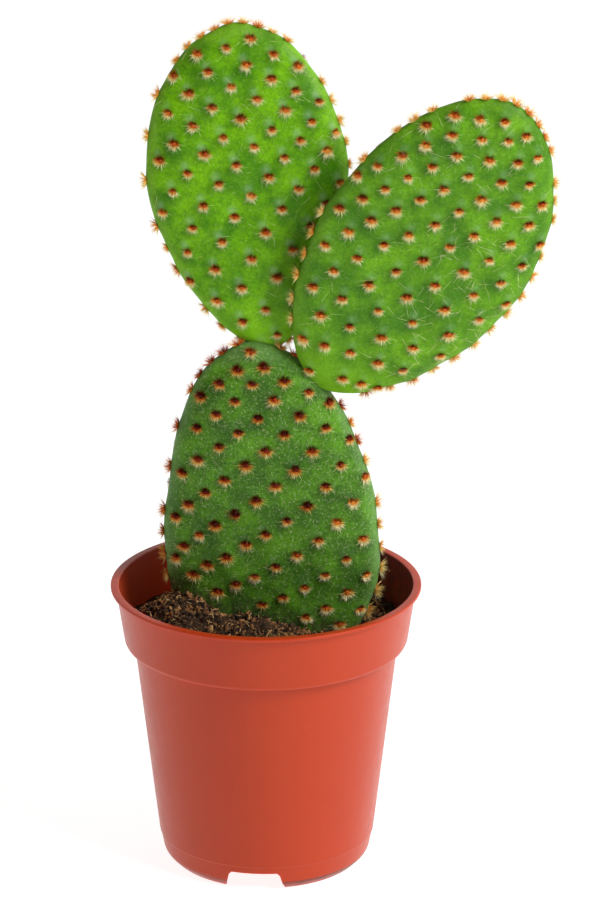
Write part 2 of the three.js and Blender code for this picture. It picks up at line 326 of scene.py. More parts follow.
@dataclass(frozen=True)
class MouldedPolypropylene(Finish):
    """Injection-moulded polypropylene, pigmented terracotta: even, a little translucent, half gloss."""

    name: str = "moulded_polypropylene"
    pigment: str = "#C24014"
    streak: str = "#B43812"
    scuff: str = "#CC6038"
    # The dark brown of the shade painted on the inner wall
    painted_shade: str = "#3A2016"
    streak_size: float = 24.0
    streak_squeeze: float = 0.22
    scuff_size: float = 5.0
    scuff_share: float = 0.18
    grain_size: float = 0.5
    grain_depth: float = 0.012
    roughness: tuple[float, float] = (0.3, 0.4)

    def looks(self, nodes: Nodes, place: bpy.types.NodeSocket) -> dict:
        """Add pigment streaks, faint scuffs, painted shade on the inner wall and the mould's grain.

        Args:
            nodes: the material's nodes.
            place: the socket of the piece's own coordinates.

        Returns:
            The shader's inputs by socket identifier.
        """
        add = nodes.add
        # Moulding gives the eye one even colour, a half gloss and a wall that light comes through a little.
        # Pigment streaks run down the wall, as the plastic flowed in the mould
        flow = add("ShaderNodeMapping", links={"Vector": place, "Scale": (1.0, 1.0, self.streak_squeeze)})
        streaks = add("ShaderNodeTexNoise", links={"Vector": flow, "Scale": per_mm(self.streak_size),
                      "Detail": 3.0})
        scuffs = add("ShaderNodeTexNoise", links={"Vector": place, "Scale": per_mm(self.scuff_size),
                     "Detail": 6.0, "Roughness": 0.65})
        worn = add("ShaderNodeMapRange", scuffs, 0.6, 0.8, 0.0, self.scuff_share)
        # Painted shade on the inner wall: dark brown over the pigment, broken up by the scuffs' noise
        dirt_and_shade = add("ShaderNodeAttribute", attribute_name="painted_shade").outputs["Fac"]
        uneven = add("ShaderNodeMapRange", scuffs, 0.35, 0.6, 0.7, 1.0)
        inner_shade = add("ShaderNodeMath", dirt_and_shade, uneven, operation="MULTIPLY")
        colour = self.painted(nodes, self.pigment, (streaks, self.streak), (worn, self.scuff),
                              (inner_shade, self.painted_shade))
        gloss = add("ShaderNodeMapRange", scuffs, 0.3, 0.7, *self.roughness)
        # The mould's spark-eroded grain is finer than this, drawn coarse enough to show
        grain = add("ShaderNodeTexNoise", links={"Vector": place, "Scale": per_mm(self.grain_size)})
        bump = add("ShaderNodeBump", links={"Height": grain, "Strength": 0.35,
                   "Distance": self.grain_depth * MM})
        return {"Base Color": colour, "Roughness": gloss, "Normal": bump, "IOR": 1.49,
                "Specular IOR Level": 0.28, "Subsurface Weight": 0.5, "Subsurface Radius": (1.0, 0.22, 0.1),
                "Subsurface Scale": 1.8 * MM}


@dataclass(frozen=True)
class CactusSkin(Finish):
    """Living cactus skin: a waxy cuticle over green flesh, matt, with bloom and corky flecks."""

    name: str
    flesh: str
    shade: str
    rim: str
    foot: str
    # The dark green of the speckles, and of the shade painted below each areole
    speckle_and_shade: str
    bloom_share: float
    bloom: str = "#A9C9A0"
    fleck: str = "#B9C48C"
    dirt: str = "#3B3A22"
    foot_share: float = 0.75
    rim_share: float = 0.6
    speckle_and_shade_share: float = 0.6
    speckle_share: float = 0.5
    fleck_share: float = 0.32
    blotch_size: float = 10.0
    mottle_size: float = 1.6
    speckle_size: float = 0.95
    fleck_size: float = 0.7
    pore_size: float = 0.6
    pore_depth: float = 0.1
    roughness: tuple[float, float] = (0.38, 0.55)

    def looks(self, nodes: Nodes, place: bpy.types.NodeSocket) -> dict:
        """Add the flesh's blotches and speckles, the masks' tones and painted shade, the pale flecks, the
        dirt and the pores.

        Args:
            nodes: the material's nodes.
            place: the socket of the piece's own coordinates.

        Returns:
            The shader's inputs by socket identifier.
        """
        add = nodes.add
        # The grown cuticle gives the eye a matt, waxy green, mottled and dusted with bloom. Its pores are
        # about 0.1 mm, drawn coarser so that they show
        patterns = ((self.blotch_size, 5.0, 0.6), (self.mottle_size, 4.0, 0.7), (self.speckle_size, 4.0, 0.7),
                    (self.fleck_size, 3.0, 0.8), (self.pore_size, 3.0, 0.6))
        blotches, mottle, speckles, flecks, pores = (
            add("ShaderNodeTexNoise", links={"Vector": place, "Scale": per_mm(size), "Detail": detail,
                "Roughness": rough}) for size, detail, rough in patterns)
        spread = add("ShaderNodeMapRange", blotches, 0.38, 0.62)
        dark = add("ShaderNodeMapRange", speckles, 0.42, 0.68, 0.0, self.speckle_share)
        layers = [(spread, self.flesh), (dark, self.speckle_and_shade)]
        uneven = add("ShaderNodeMapRange", mottle, 0.3, 0.7, 0.45, 1.0)
        # The masks lay on the foot's and the rim's tones, the painted shade below each areole and the bloom
        for mask in ("foot", "rim", "speckle_and_shade", "bloom"):
            there = add("ShaderNodeAttribute", attribute_name=mask).outputs["Fac"]
            part = add("ShaderNodeMath", there, uneven, operation="MULTIPLY")
            strength = getattr(self, f"{mask}_share")
            share = add("ShaderNodeMath", part, strength, operation="MULTIPLY", use_clamp=True)
            layers.append((share, getattr(self, mask)))
        pale = add("ShaderNodeMapRange", flecks, 0.56, 0.74, 0.0, self.fleck_share)
        dirt_and_shade = add("ShaderNodeAttribute", attribute_name="dirt").outputs["Fac"]
        crust = add("ShaderNodeMath", dirt_and_shade, mottle, operation="MULTIPLY")
        smear = add("ShaderNodeMapRange", crust, 0.3, 0.55, 0.0, 0.85)
        colour = self.painted(nodes, self.shade, *layers, (pale, self.fleck), (smear, self.dirt))
        gloss = add("ShaderNodeMapRange", mottle, 0.3, 0.7, *self.roughness)
        bump = add("ShaderNodeBump", links={"Height": pores, "Strength": 0.6,
                   "Distance": self.pore_depth * MM})
        return {"Base Color": colour, "Roughness": gloss, "Normal": bump, "IOR": 1.4,
                "Specular IOR Level": 0.2, "Subsurface Weight": 0.12, "Subsurface Radius": (0.5, 1.0, 0.25),
                "Subsurface Scale": 1.5 * MM}


@dataclass(frozen=True)
class Bristle(Finish):
    """Cactus bristle: dry cellulose, maroon where it is young and dense, straw-coloured where single."""

    name: str = "bristle"
    stops: tuple[tuple[float, str], ...] = (
        (0.0, "#4A0A02"), (0.2, "#86220A"), (0.38, "#CC5A16"), (0.56, "#F0A038"), (0.76, "#FADA80"),
        (1.0, "#FFF4C4"))
    tip_gain: float = 0.24
    uneven: float = 0.16
    patch_size: float = 0.6
    roughness: float = 0.42

    def looks(self, nodes: Nodes, place: bpy.types.NodeSocket) -> dict:
        """Add the colour by each bristle's tint, paler towards its tip and a little uneven.

        Args:
            nodes: the material's nodes.
            place: the socket of the piece's own coordinates.

        Returns:
            The shader's inputs by socket identifier.
        """
        add = nodes.add
        # Bristles that grew and dried give the eye fine straw, dark where they stand close together
        tint, along = (add("ShaderNodeAttribute", attribute_name=label).outputs["Fac"]
                       for label in ("tint", "along"))
        ripe = add("ShaderNodeMath", along, self.tip_gain, tint, operation="MULTIPLY_ADD")
        patches = add("ShaderNodeTexNoise", links={"Vector": place, "Scale": per_mm(self.patch_size)})
        shift = add("ShaderNodeMapRange", patches, 0.25, 0.75, -self.uneven, self.uneven)
        ripe = add("ShaderNodeMath", ripe, shift, operation="ADD", use_clamp=True)
        colour = add("ShaderNodeValToRGB", ripe, stops=dict(self.stops))
        return {"Base Color": colour, "Roughness": self.roughness, "IOR": 1.5, "Specular IOR Level": 0.2,
                "Subsurface Weight": 0.1, "Subsurface Radius": (1.0, 0.5, 0.25),
                "Subsurface Scale": 0.4 * MM}


@dataclass(frozen=True)
class Peat(Finish):
    """Moist potting peat: dark brown crumbs and fibres, matt, with dry tan bits."""

    name: str = "peat"
    stops: tuple[tuple[float, str], ...] = (
        (0.15, "#160E08"), (0.45, "#4A3320"), (0.75, "#98693C"), (1.0, "#DDB078"))
    crumb_size: float = 1.3
    depth: float = 0.5

    def looks(self, nodes: Nodes, place: bpy.types.NodeSocket) -> dict:
        """Add the colour by each bit's shade, wet to dry, and the roughness of its surface.

        Args:
            nodes: the material's nodes.
            place: the socket of the piece's own coordinates.

        Returns:
            The shader's inputs by socket identifier.
        """
        add = nodes.add
        # Peat that was dug and sieved gives the eye dark matt crumbs, paler where they dried
        shade = add("ShaderNodeAttribute", attribute_name="shade").outputs["Fac"]
        crumbs = add("ShaderNodeTexNoise", links={"Vector": place, "Scale": per_mm(self.crumb_size),
                     "Detail": 6.0, "Roughness": 0.7})
        tone = add("ShaderNodeMath", crumbs, 0.5, shade, operation="MULTIPLY_ADD", use_clamp=True)
        colour = add("ShaderNodeValToRGB", tone, stops=dict(self.stops))
        bump = add("ShaderNodeBump", links={"Height": crumbs, "Strength": 0.8, "Distance": self.depth * MM})
        return {"Base Color": colour, "Roughness": 0.92, "Normal": bump, "IOR": 1.35}


@dataclass(frozen=True)
class OpalAcrylic(Finish):
    """The shooting table's opal acrylic sheet, matt, lit from below."""

    name: str = "opal_acrylic"
    tint: str = "#B4B4B4"
    wear_size: float = 90.0
    glow: float = 1.95

    def looks(self, nodes: Nodes, place: bpy.types.NodeSocket) -> dict:
        """Add the sheet's tint, its even glow and the wear of its matt side.

        Args:
            nodes: the material's nodes.
            place: the socket of the piece's own coordinates.

        Returns:
            The shader's inputs by socket identifier.
        """
        # Cast opal sheet gives the eye an even white without a mirror image
        wear = nodes.add("ShaderNodeTexNoise", links={"Vector": place, "Scale": per_mm(self.wear_size)})
        rough = nodes.add("ShaderNodeMapRange", wear, 0.0, 1.0, 0.8, 0.95)
        return {"Base Color": linear(self.tint), "Roughness": rough, "Specular IOR Level": 0.1,
                "Emission Color": linear(self.tint), "Emission Strength": self.glow}


# Trees of nodes for what repeats


class Socket(Enum):
    """The kinds of socket that a tree's inputs have."""

    GEOMETRY = "NodeSocketGeometry"
    NUMBER = "NodeSocketFloat"
    COUNT = "NodeSocketInt"
    MATERIAL = "NodeSocketMaterial"


class Repeat:
    """A tree of nodes that repeats a small shape over a source mesh."""

    name = "repeat"
    mark = "tint"
    sizes: tuple[str, ...] = ()
    kinds = {"Count": Socket.COUNT, "Seed": Socket.COUNT, "Material": Socket.MATERIAL}

    def __init__(self) -> None:
        """Make the tree's interface and build it."""
        tree = bpy.data.node_groups.new(self.name, "GeometryNodeTree")
        face = tree.interface
        output = face.new_socket("Geometry", in_out="OUTPUT", socket_type=Socket.GEOMETRY.value)
        face.new_socket("Geometry", in_out="INPUT", socket_type=Socket.GEOMETRY.value)
        self.keys = {}
        for label in (*self.sizes, "Seed", "Material"):
            kind = self.kinds.get(label, Socket.NUMBER)
            made = face.new_socket(label, in_out="INPUT", socket_type=kind.value)
            self.keys[label] = made.identifier
        self.tree = tree
        self.add = Nodes(tree).add
        self.given = self.add("NodeGroupInput").outputs
        rows, value = self.rows()
        marked = self.add("GeometryNodeStoreNamedAttribute", domain="INSTANCE", data_type="FLOAT",
                          links={"Geometry": rows, "Name": self.mark, "Value": value})
        real = self.add("GeometryNodeRealizeInstances", marked)
        dressed = self.add("GeometryNodeSetMaterial", links={"Geometry": real,
                           "Material": self.given["Material"]})
        self.add("NodeGroupOutput", links={output.identifier: dressed})

    def rows(self) -> tuple[bpy.types.Node, bpy.types.Node]:
        """Add the nodes that place the shape, and return the instances and the number marked on each."""
        raise NotImplementedError

    def draws(self, *ranges: tuple[object, object], first: int = 0) -> list[bpy.types.Node]:
        """Add a row of random draws, one for each instance, all with seeds of their own.

        Args:
            ranges: the lowest and the highest value of each draw.
            first: what the first draw adds to the tree's seed.

        Returns:
            The nodes that draw.
        """
        made = []
        for k, (low, high) in enumerate(ranges, start=first):
            seed = self.add("ShaderNodeMath", self.given["Seed"], float(k), operation="ADD")
            made.append(self.add("FunctionNodeRandomValue", low, high, data_type="FLOAT",
                                 links={"Seed": seed}))
        return made

    def summed(self, *parts: tuple[object, object]) -> bpy.types.Node:
        """Add up directions, each times its share.

        Args:
            parts: the directions with their shares.

        Returns:
            The node of the sum.
        """
        scaled = [self.add("ShaderNodeVectorMath", way, operation="SCALE", links={"Scale": share})
                  for way, share in parts]
        total = scaled[0]
        for part in scaled[1:]:
            total = self.add("ShaderNodeVectorMath", total, part, operation="ADD")
        return total

    def needle(self) -> bpy.types.Node:
        """Add a three-sided needle of unit length and radius that knows how far along it each point is.

        Returns:
            The node of the needle.
        """
        cone = self.add("GeometryNodeMeshCone", fill_type="NGON", links={"Vertices": 3, "Radius Top": 0.0,
                        "Radius Bottom": 1.0, "Depth": 1.0})
        height = self.add("ShaderNodeSeparateXYZ", self.add("GeometryNodeInputPosition")).outputs["Z"]
        return self.add("GeometryNodeStoreNamedAttribute", domain="POINT", data_type="FLOAT",
                        links={"Geometry": cone.outputs["Mesh"], "Name": "along", "Value": height})

    def grow(self, mesh: bpy.types.Mesh, name: str, **values: object) -> bpy.types.Object:
        """Run the tree over a copy of a mesh.

        Args:
            mesh: the source mesh, which is copied.
            name: the finished object's name.
            values: the tree's inputs by name, with underscores for spaces.

        Returns:
            The finished object as a plain mesh.
        """
        source = new_object(mesh.copy(), f"{name}_source")
        modifier = source.modifiers.new("repeat", "NODES")
        modifier.node_group = self.tree
        for label, value in values.items():
            modifier[self.keys[label.replace("_", " ")]] = value
        return applied(source, name)


class TuftTree(Repeat):
    """Bristles that fan out of each point of the source along its normal."""

    name = "tuft_bristles"
    sizes = ("Count", "Length", "Uneven", "Thickness", "Root", "Inner angle", "Outer angle", "Arc", "Droop",
             "Sink", "Fade", "Slant", "Tone")

    def rows(self) -> tuple[bpy.types.Node, bpy.types.Node]:
        """Fan the bristles out round each normal, longer or shorter by the point's own size.

        Returns:
            The node that gives the bristles, and the one that gives each bristle's tint.
        """
        add, given = self.add, self.given
        kinds = (("normal", "FLOAT_VECTOR"), ("down", "FLOAT_VECTOR"), ("size", "FLOAT"), ("tone", "FLOAT"))
        normal, down, size, tone = (
            add("GeometryNodeInputNamedAttribute", data_type=kind, links={"Name": label})
            for label, kind in kinds)
        many = add("GeometryNodeDuplicateElements", domain="POINT",
                   links={"Geometry": given["Geometry"], "Amount": given["Count"]})
        turns, shares, uneven = self.draws((-0.5, 0.5), (0.0, 1.0), (-1.0, 1.0))
        turn = add("ShaderNodeMath", turns, given["Arc"], operation="MULTIPLY")
        share = add("ShaderNodeMath", shares, operation="SQRT")
        opening = add("ShaderNodeMapRange", share, 0.0, 1.0, given["Inner angle"], given["Outer angle"])
        ahead, aside, upright, flat = (add("ShaderNodeMath", angle, operation=kind)
                                       for angle in (turn, opening) for kind in ("COSINE", "SINE"))
        side = add("ShaderNodeVectorMath", normal, down, operation="CROSS_PRODUCT")
        out = self.summed((down, ahead), (side, aside))
        heading = self.summed((normal, upright), (out, flat), (down, given["Droop"]))
        wide = add("ShaderNodeMath", given["Root"], share, operation="MULTIPLY")
        wider = add("ShaderNodeMath", wide, size, operation="MULTIPLY")
        depth = add("ShaderNodeMath", given["Sink"], -1.0, operation="MULTIPLY")
        offset = self.summed((out, wider), (normal, depth))
        placed = add("GeometryNodeSetPosition", links={"Geometry": many, "Offset": offset})
        longer = add("ShaderNodeMath", uneven, given["Uneven"], 1.0, operation="MULTIPLY_ADD")
        sized = add("ShaderNodeMath", given["Length"], size, operation="MULTIPLY")
        length = add("ShaderNodeMath", sized, longer, operation="MULTIPLY")
        scale = add("ShaderNodeCombineXYZ", given["Thickness"], given["Thickness"], length)
        aim = add("FunctionNodeAlignRotationToVector", axis="Z", links={"Vector": heading})
        rows = add("GeometryNodeInstanceOnPoints", links={"Points": placed, "Instance": self.needle(),
                   "Rotation": aim, "Scale": scale})
        spread = add("ShaderNodeMath", share, given["Fade"], tone, operation="MULTIPLY_ADD")
        mixed = add("ShaderNodeMath", uneven, 0.1, spread, operation="MULTIPLY_ADD")
        downhill = add("ShaderNodeMath", ahead, share, operation="MULTIPLY")
        slanted = add("ShaderNodeMath", downhill, given["Slant"], mixed, operation="MULTIPLY_ADD")
        return rows, add("ShaderNodeMath", slanted, given["Tone"], operation="ADD")


class FeltTree(Repeat):
    """The felt cushion that the bristles of each point of the source stand in."""

    name = "areole_felt"
    sizes = ("Radius", "Height", "Tone")

    def rows(self) -> tuple[bpy.types.Node, bpy.types.Node]:
        """Set a flattened ball square to each normal.

        Returns:
            The node that gives the cushions, and the one that gives each cushion's tint.
        """
        add, given = self.add, self.given
        kinds = (("normal", "FLOAT_VECTOR"), ("size", "FLOAT"), ("tone", "FLOAT"))
        normal, size, tone = (add("GeometryNodeInputNamedAttribute", data_type=kind, links={"Name": label})
                              for label, kind in kinds)
        ball = add("GeometryNodeMeshIcoSphere", links={"Radius": 1.0, "Subdivisions": 2})
        wide, high = (add("ShaderNodeMath", given[label], size, operation="MULTIPLY")
                      for label in ("Radius", "Height"))
        scale = add("ShaderNodeCombineXYZ", wide, wide, high)
        aim = add("FunctionNodeAlignRotationToVector", axis="Z", links={"Vector": normal})
        rows = add("GeometryNodeInstanceOnPoints", links={"Points": given["Geometry"],
                   "Instance": ball.outputs["Mesh"], "Rotation": aim, "Scale": scale})
        return rows, add("ShaderNodeMath", tone, given["Tone"], operation="ADD")


class HairTree(Repeat):
    """Single loose hairs that lie or stand on a skin, more where the source is marked hairy."""

    name = "loose_hairs"
    sizes = ("Density", "Length", "Uneven", "Thickness", "Stand", "Tint")

    def rows(self) -> tuple[bpy.types.Node, bpy.types.Node]:
        """Lay the hairs any way across the normal.

        Returns:
            The node that gives the hairs, and the one that gives each hair's tint.
        """
        add, given = self.add, self.given
        hairy = add("GeometryNodeInputNamedAttribute", data_type="FLOAT", links={"Name": "hairy"})
        here = add("ShaderNodeMath", given["Density"], hairy, operation="MULTIPLY")
        spread = add("GeometryNodeDistributePointsOnFaces",
                     links={"Mesh": given["Geometry"], "Density": here, "Seed": given["Seed"]}).outputs
        way = add("FunctionNodeRandomValue", (-1.0,) * 3, (1.0,) * 3, data_type="FLOAT_VECTOR",
                  links={"Seed": given["Seed"]})
        across = add("ShaderNodeVectorMath", spread["Normal"], way, operation="CROSS_PRODUCT")
        flat = add("ShaderNodeVectorMath", across, operation="NORMALIZE")
        heading = self.summed((flat, 1.0), (spread["Normal"], given["Stand"]))
        uneven = self.draws((-1.0, 1.0), first=1)[0]
        longer = add("ShaderNodeMath", uneven, given["Uneven"], 1.0, operation="MULTIPLY_ADD")
        length = add("ShaderNodeMath", given["Length"], longer, operation="MULTIPLY")
        scale = add("ShaderNodeCombineXYZ", given["Thickness"], given["Thickness"], length)
        aim = add("FunctionNodeAlignRotationToVector", axis="Z", links={"Vector": heading})
        rows = add("GeometryNodeInstanceOnPoints", links={"Points": spread["Points"],
                   "Instance": self.needle(), "Rotation": aim, "Scale": scale})
        return rows, add("ShaderNodeMath", uneven, 0.15, given["Tint"], operation="MULTIPLY_ADD")


class CrumbTree(Repeat):
    """Small rough lumps, turned any way and sunk part of the way into the surface."""

    name = "peat_crumbs"
    mark = "shade"
    sizes = ("Density", "Smallest", "Largest", "Slenderness", "Dark", "Light")

    def rows(self) -> tuple[bpy.types.Node, bpy.types.Node]:
        """Scatter lumps, more of them small than large.

        Returns:
            The node that gives the lumps, and the one that gives each lump's shade.
        """
        add, given = self.add, self.given
        spread = add("GeometryNodeDistributePointsOnFaces", links={"Mesh": given["Geometry"],
                     "Density": given["Density"], "Seed": given["Seed"]})
        ball = add("GeometryNodeMeshIcoSphere", links={"Radius": 0.5, "Subdivisions": 1})
        rough = add("ShaderNodeTexNoise", links={"Scale": 2.6, "Detail": 1.0})
        dent = add("ShaderNodeVectorMath", rough.outputs["Color"], (0.5, 0.5, 0.5), operation="SUBTRACT")
        deep = add("ShaderNodeVectorMath", dent, operation="SCALE", links={"Scale": 0.9})
        lump = add("GeometryNodeSetPosition", links={"Geometry": ball.outputs["Mesh"], "Offset": deep})
        share, slender, flat, shade = self.draws((0.0, 1.0), (1.0, given["Slenderness"]), (0.5, 1.0),
                                                 (given["Dark"], given["Light"]))
        small = add("ShaderNodeMath", share, 2.5, operation="POWER")
        size = add("ShaderNodeMapRange", small, 0.0, 1.0, given["Smallest"], given["Largest"])
        long_way, flat_way = (add("ShaderNodeMath", size, part, operation="MULTIPLY")
                              for part in (slender, flat))
        scale = add("ShaderNodeCombineXYZ", long_way, size, flat_way)
        turned = add("FunctionNodeRandomValue", (0.0,) * 3, (TURN,) * 3, data_type="FLOAT_VECTOR",
                     links={"Seed": given["Seed"]})
        aim = add("FunctionNodeEulerToRotation", turned)
        rows = add("GeometryNodeInstanceOnPoints", links={"Points": spread.outputs["Points"],
                   "Instance": lump, "Rotation": aim, "Scale": scale})
        return rows, shade


class FibreTree(Repeat):
    """Curved straws of peat and bark that lie on the surface."""

    name = "peat_fibres"
    mark = "shade"
    sizes = ("Density", "Shortest", "Longest", "Thickness", "Tilt", "Dark", "Light")

    def rows(self) -> tuple[bpy.types.Node, bpy.types.Node]:
        """Scatter straws, each a bow that lies nearly level.

        Returns:
            The node that gives the straws, and the one that gives each straw's shade.
        """
        add, given = self.add, self.given
        spread = add("GeometryNodeDistributePointsOnFaces", links={"Mesh": given["Geometry"],
                     "Density": given["Density"], "Seed": given["Seed"]})
        bow = add("GeometryNodeCurveQuadraticBezier", links={"Resolution": 5, "Start": (-0.5, 0.0, -0.04),
                  "Middle": (0.05, 0.16, 0.08), "End": (0.5, -0.05, -0.02)})
        thin = add("ShaderNodeMath", given["Thickness"], given["Longest"], operation="DIVIDE")
        section = add("GeometryNodeCurvePrimitiveCircle", mode="RADIUS",
                      links={"Resolution": 3, "Radius": thin})
        straw = add("GeometryNodeCurveToMesh", links={"Curve": bow, "Profile Curve": section.outputs["Curve"],
                    "Fill Caps": True})
        share, shade = self.draws((0.0, 1.0), (given["Dark"], given["Light"]))
        small = add("ShaderNodeMath", share, 1.8, operation="POWER")
        size = add("ShaderNodeMapRange", small, 0.0, 1.0, given["Shortest"], given["Longest"])
        back = add("ShaderNodeMath", given["Tilt"], -1.0, operation="MULTIPLY")
        lowest = add("ShaderNodeCombineXYZ", 0.0, back, 0.0)
        highest = add("ShaderNodeCombineXYZ", TURN, given["Tilt"], TURN)
        turned = add("FunctionNodeRandomValue", lowest, highest, data_type="FLOAT_VECTOR",
                     links={"Seed": given["Seed"]})
        aim = add("FunctionNodeEulerToRotation", turned)
        scale = add("ShaderNodeCombineXYZ", size, size, size)
        rows = add("GeometryNodeInstanceOnPoints", links={"Points": spread.outputs["Points"],
                   "Instance": straw, "Rotation": aim, "Scale": scale})
        return rows, shade


# The pot


@dataclass
class Pot:
    """Round tapered nursery pot with a band and a lip, on a notched foot."""

    rim_radius: float = 52.5
    height: float = 98.6
    lip_thickness: float = 1.1
    lip_width: float = 1.75
    wall: float = 1.0
    band_foot: float = 78.5
    band_taper: float = 2.7
    band_step: float = 3.3
    knee_height: float = 9.2
    knee_radius: float = 36.4
    knee_ledge: float = 0.3
    foot_radius: float = 32.3
    foot_width: float = 1.6
    chamfer: float = 2.9
    skirt_top: float = 7.2
    skirt_draft: float = 0.2
    floor: float = 1.3
    floor_fillet: float = 1.5
    sides: int = 288
    notch_count: int = 3
    notch_height: float = 6.9
    notch_top: float = 16.8
    notch_bottom: float = 20.1
    notch_turn: float = -6.5
    drain_count: int = 6
    drain_radius: float = 3.5
    drain_ring: float = 21.0
    drain_sides: int = 24
    sharp: float = 40.0
    # Painted shade on the inner wall: its share at the left and the right, the heights where it fades out
    # under the rim, and the turn and width in degrees of the lit patch without it
    painted_shade: tuple[float, float] = (0.32, 0.84)
    painted_shade_top: tuple[float, float] = (98.25, 98.5)
    lit_patch_turn: float = 135.0
    lit_patch_width: float = 17.0
    finish: MouldedPolypropylene = field(default_factory=MouldedPolypropylene)

    def band_radius(self, z: float) -> float:
        """Return the band's outer radius at a height."""
        top = self.rim_radius - self.lip_width
        return top - self.band_taper * (self.height - z) / (self.height - self.band_foot)

    def inner_radius(self, z: Array) -> Array:
        """Work out the inner wall's radius.

        Args:
            z: heights from the floor to the rim.

        Returns:
            The radius at each height.
        """
        shoulder = self.band_radius(self.band_foot) - self.band_step
        t = (z - self.knee_height) / (self.band_foot - self.knee_height)
        body = self.knee_radius + t * (shoulder - self.knee_radius)
        return np.where(z >= self.band_foot, self.band_radius(z), body) - self.wall

    def profile(self) -> list[tuple[float, float, float]]:
        """Work out the half section's corners.

        Returns:
            Radius, height and rounding of each, up the outside and down the inside.
        """
        rim, top, wall, foot = self.rim_radius, self.height, self.wall, self.foot_radius
        band, band_end = self.band_radius(top), self.band_radius(self.band_foot)
        shoulder = band_end - self.band_step
        lip = top - self.lip_thickness
        floor_top = self.skirt_top + self.floor
        inner = self.inner_radius
        skirt, fillet = foot + self.chamfer - wall, self.floor_fillet
        under = [(skirt, self.skirt_top, 0.4), (skirt - self.skirt_draft, self.chamfer + wall / 2.0, 0.3),
                 (foot - self.foot_width, 0.0, 0.3)]
        outside = [(foot, 0.0, 0.35), (foot + self.chamfer, self.chamfer, 1.4),
                   (self.knee_radius, self.knee_height, 0.1),
                   (self.knee_radius + self.knee_ledge, self.knee_height + self.knee_ledge, 0.2),
                   (shoulder, self.band_foot - 0.5, 0.5), (band_end - 0.5, self.band_foot, 0.3),
                   (band_end, self.band_foot + 0.9, 0.6), (band, lip, 0.25), (rim, lip, 0.35),
                   (rim, top, 0.4)]
        inside = [(band - wall, top, 0.4), (band_end - wall, self.band_foot + wall, 0.6),
                  (float(inner(self.band_foot - wall)), self.band_foot - wall, 0.5),
                  (float(inner(floor_top + fillet)), floor_top + fillet, 0.6),
                  (float(inner(floor_top)) - fillet, floor_top, 0.5)]
        return [*under, *outside, *inside]

    def rounded(self, steps: int = 5) -> list[tuple[float, float]]:
        """Round each corner of the half section with a small arc.

        Args:
            steps: the points of each arc.

        Returns:
            The section's points, from the underside's middle to the floor's middle.
        """
        corners = [(0.0, self.skirt_top, 0.0), *self.profile(), (0.0, self.skirt_top + self.floor, 0.0)]
        made = []
        for before, here, after in zip(corners, corners[1:], corners[2:]):
            corner = Vector(here[:2])
            back, ahead = Vector(before[:2]) - corner, Vector(after[:2]) - corner
            reach = min(here[2], 0.45 * back.length, 0.45 * ahead.length)
            start, end = corner + back.normalized() * reach, corner + ahead.normalized() * reach
            for k in range(steps):
                t = k / (steps - 1)
                made.append((start.lerp(corner, t)).lerp(corner.lerp(end, t), t)[:])
        return made

    def build(self) -> bpy.types.Object:
        """Turn the section, cut the notches and the drain holes, and dress the shell.

        Returns:
            The finished pot.
        """
        angles = np.arange(self.sides) * TURN / self.sides
        circle = np.stack([np.cos(angles), np.sin(angles)], 1)
        rings = [np.column_stack([r * circle, np.full(self.sides, z)]) for r, z in self.rounded()]
        first = np.array([0.0, 0.0, self.skirt_top])
        last = np.array([0.0, 0.0, self.skirt_top + self.floor])
        shell = new_object(new_mesh("pot_shell", *lofted(first, rings, last)), "pot_turned")
        cutters = [new_object(new_mesh("cutter", *shape), "cutter") for shape in self.cutters()]
        for cutter in cutters:
            cut = shell.modifiers.new("cut", "BOOLEAN")
            cut.operation = "DIFFERENCE"
            cut.solver = "EXACT"
            cut.object = cutter
        made = applied(shell, "pot_shell")
        for cutter in cutters:
            discard(cutter)
        made.data.shade_smooth()
        made.data.set_sharp_from_angle(angle=math.radians(self.sharp))
        made.data.materials.clear()
        made.data.materials.append(self.finish.material())
        # The shade painted on the inner wall, a share at each point
        store(made.data, "painted_shade", self.inner_shade(made.data))
        return finished(made, "pot_plastic", "pot")

    def inner_shade(self, mesh: bpy.types.Mesh) -> Array:
        """Work out the shade painted on the inner wall: more at the right, none on the lit patch at the back
        left.

        Args:
            mesh: the pot's mesh in the frame.

        Returns:
            The painted shade's share at each point.
        """
        points = np.empty(len(mesh.vertices) * 3, np.float32)
        mesh.vertices.foreach_get("co", points)
        x, y, z = (points.reshape(-1, 3) / MM - pot_axis()).T
        radius = np.maximum(np.hypot(x, y), 1.0)
        inside = np.abs(radius - self.inner_radius(z)) < 0.4 * self.wall
        share = self.painted_shade[0] + (self.painted_shade[1] - self.painted_shade[0]) * (1.0 + x / radius) / 2.0
        away = np.degrees(np.arctan2(y, x)) - self.lit_patch_turn
        outside_lit_patch = 1.0 - np.exp(-((away / self.lit_patch_width) ** 2))
        return inside * share * (1.0 - smooth(*self.painted_shade_top, z)) * outside_lit_patch

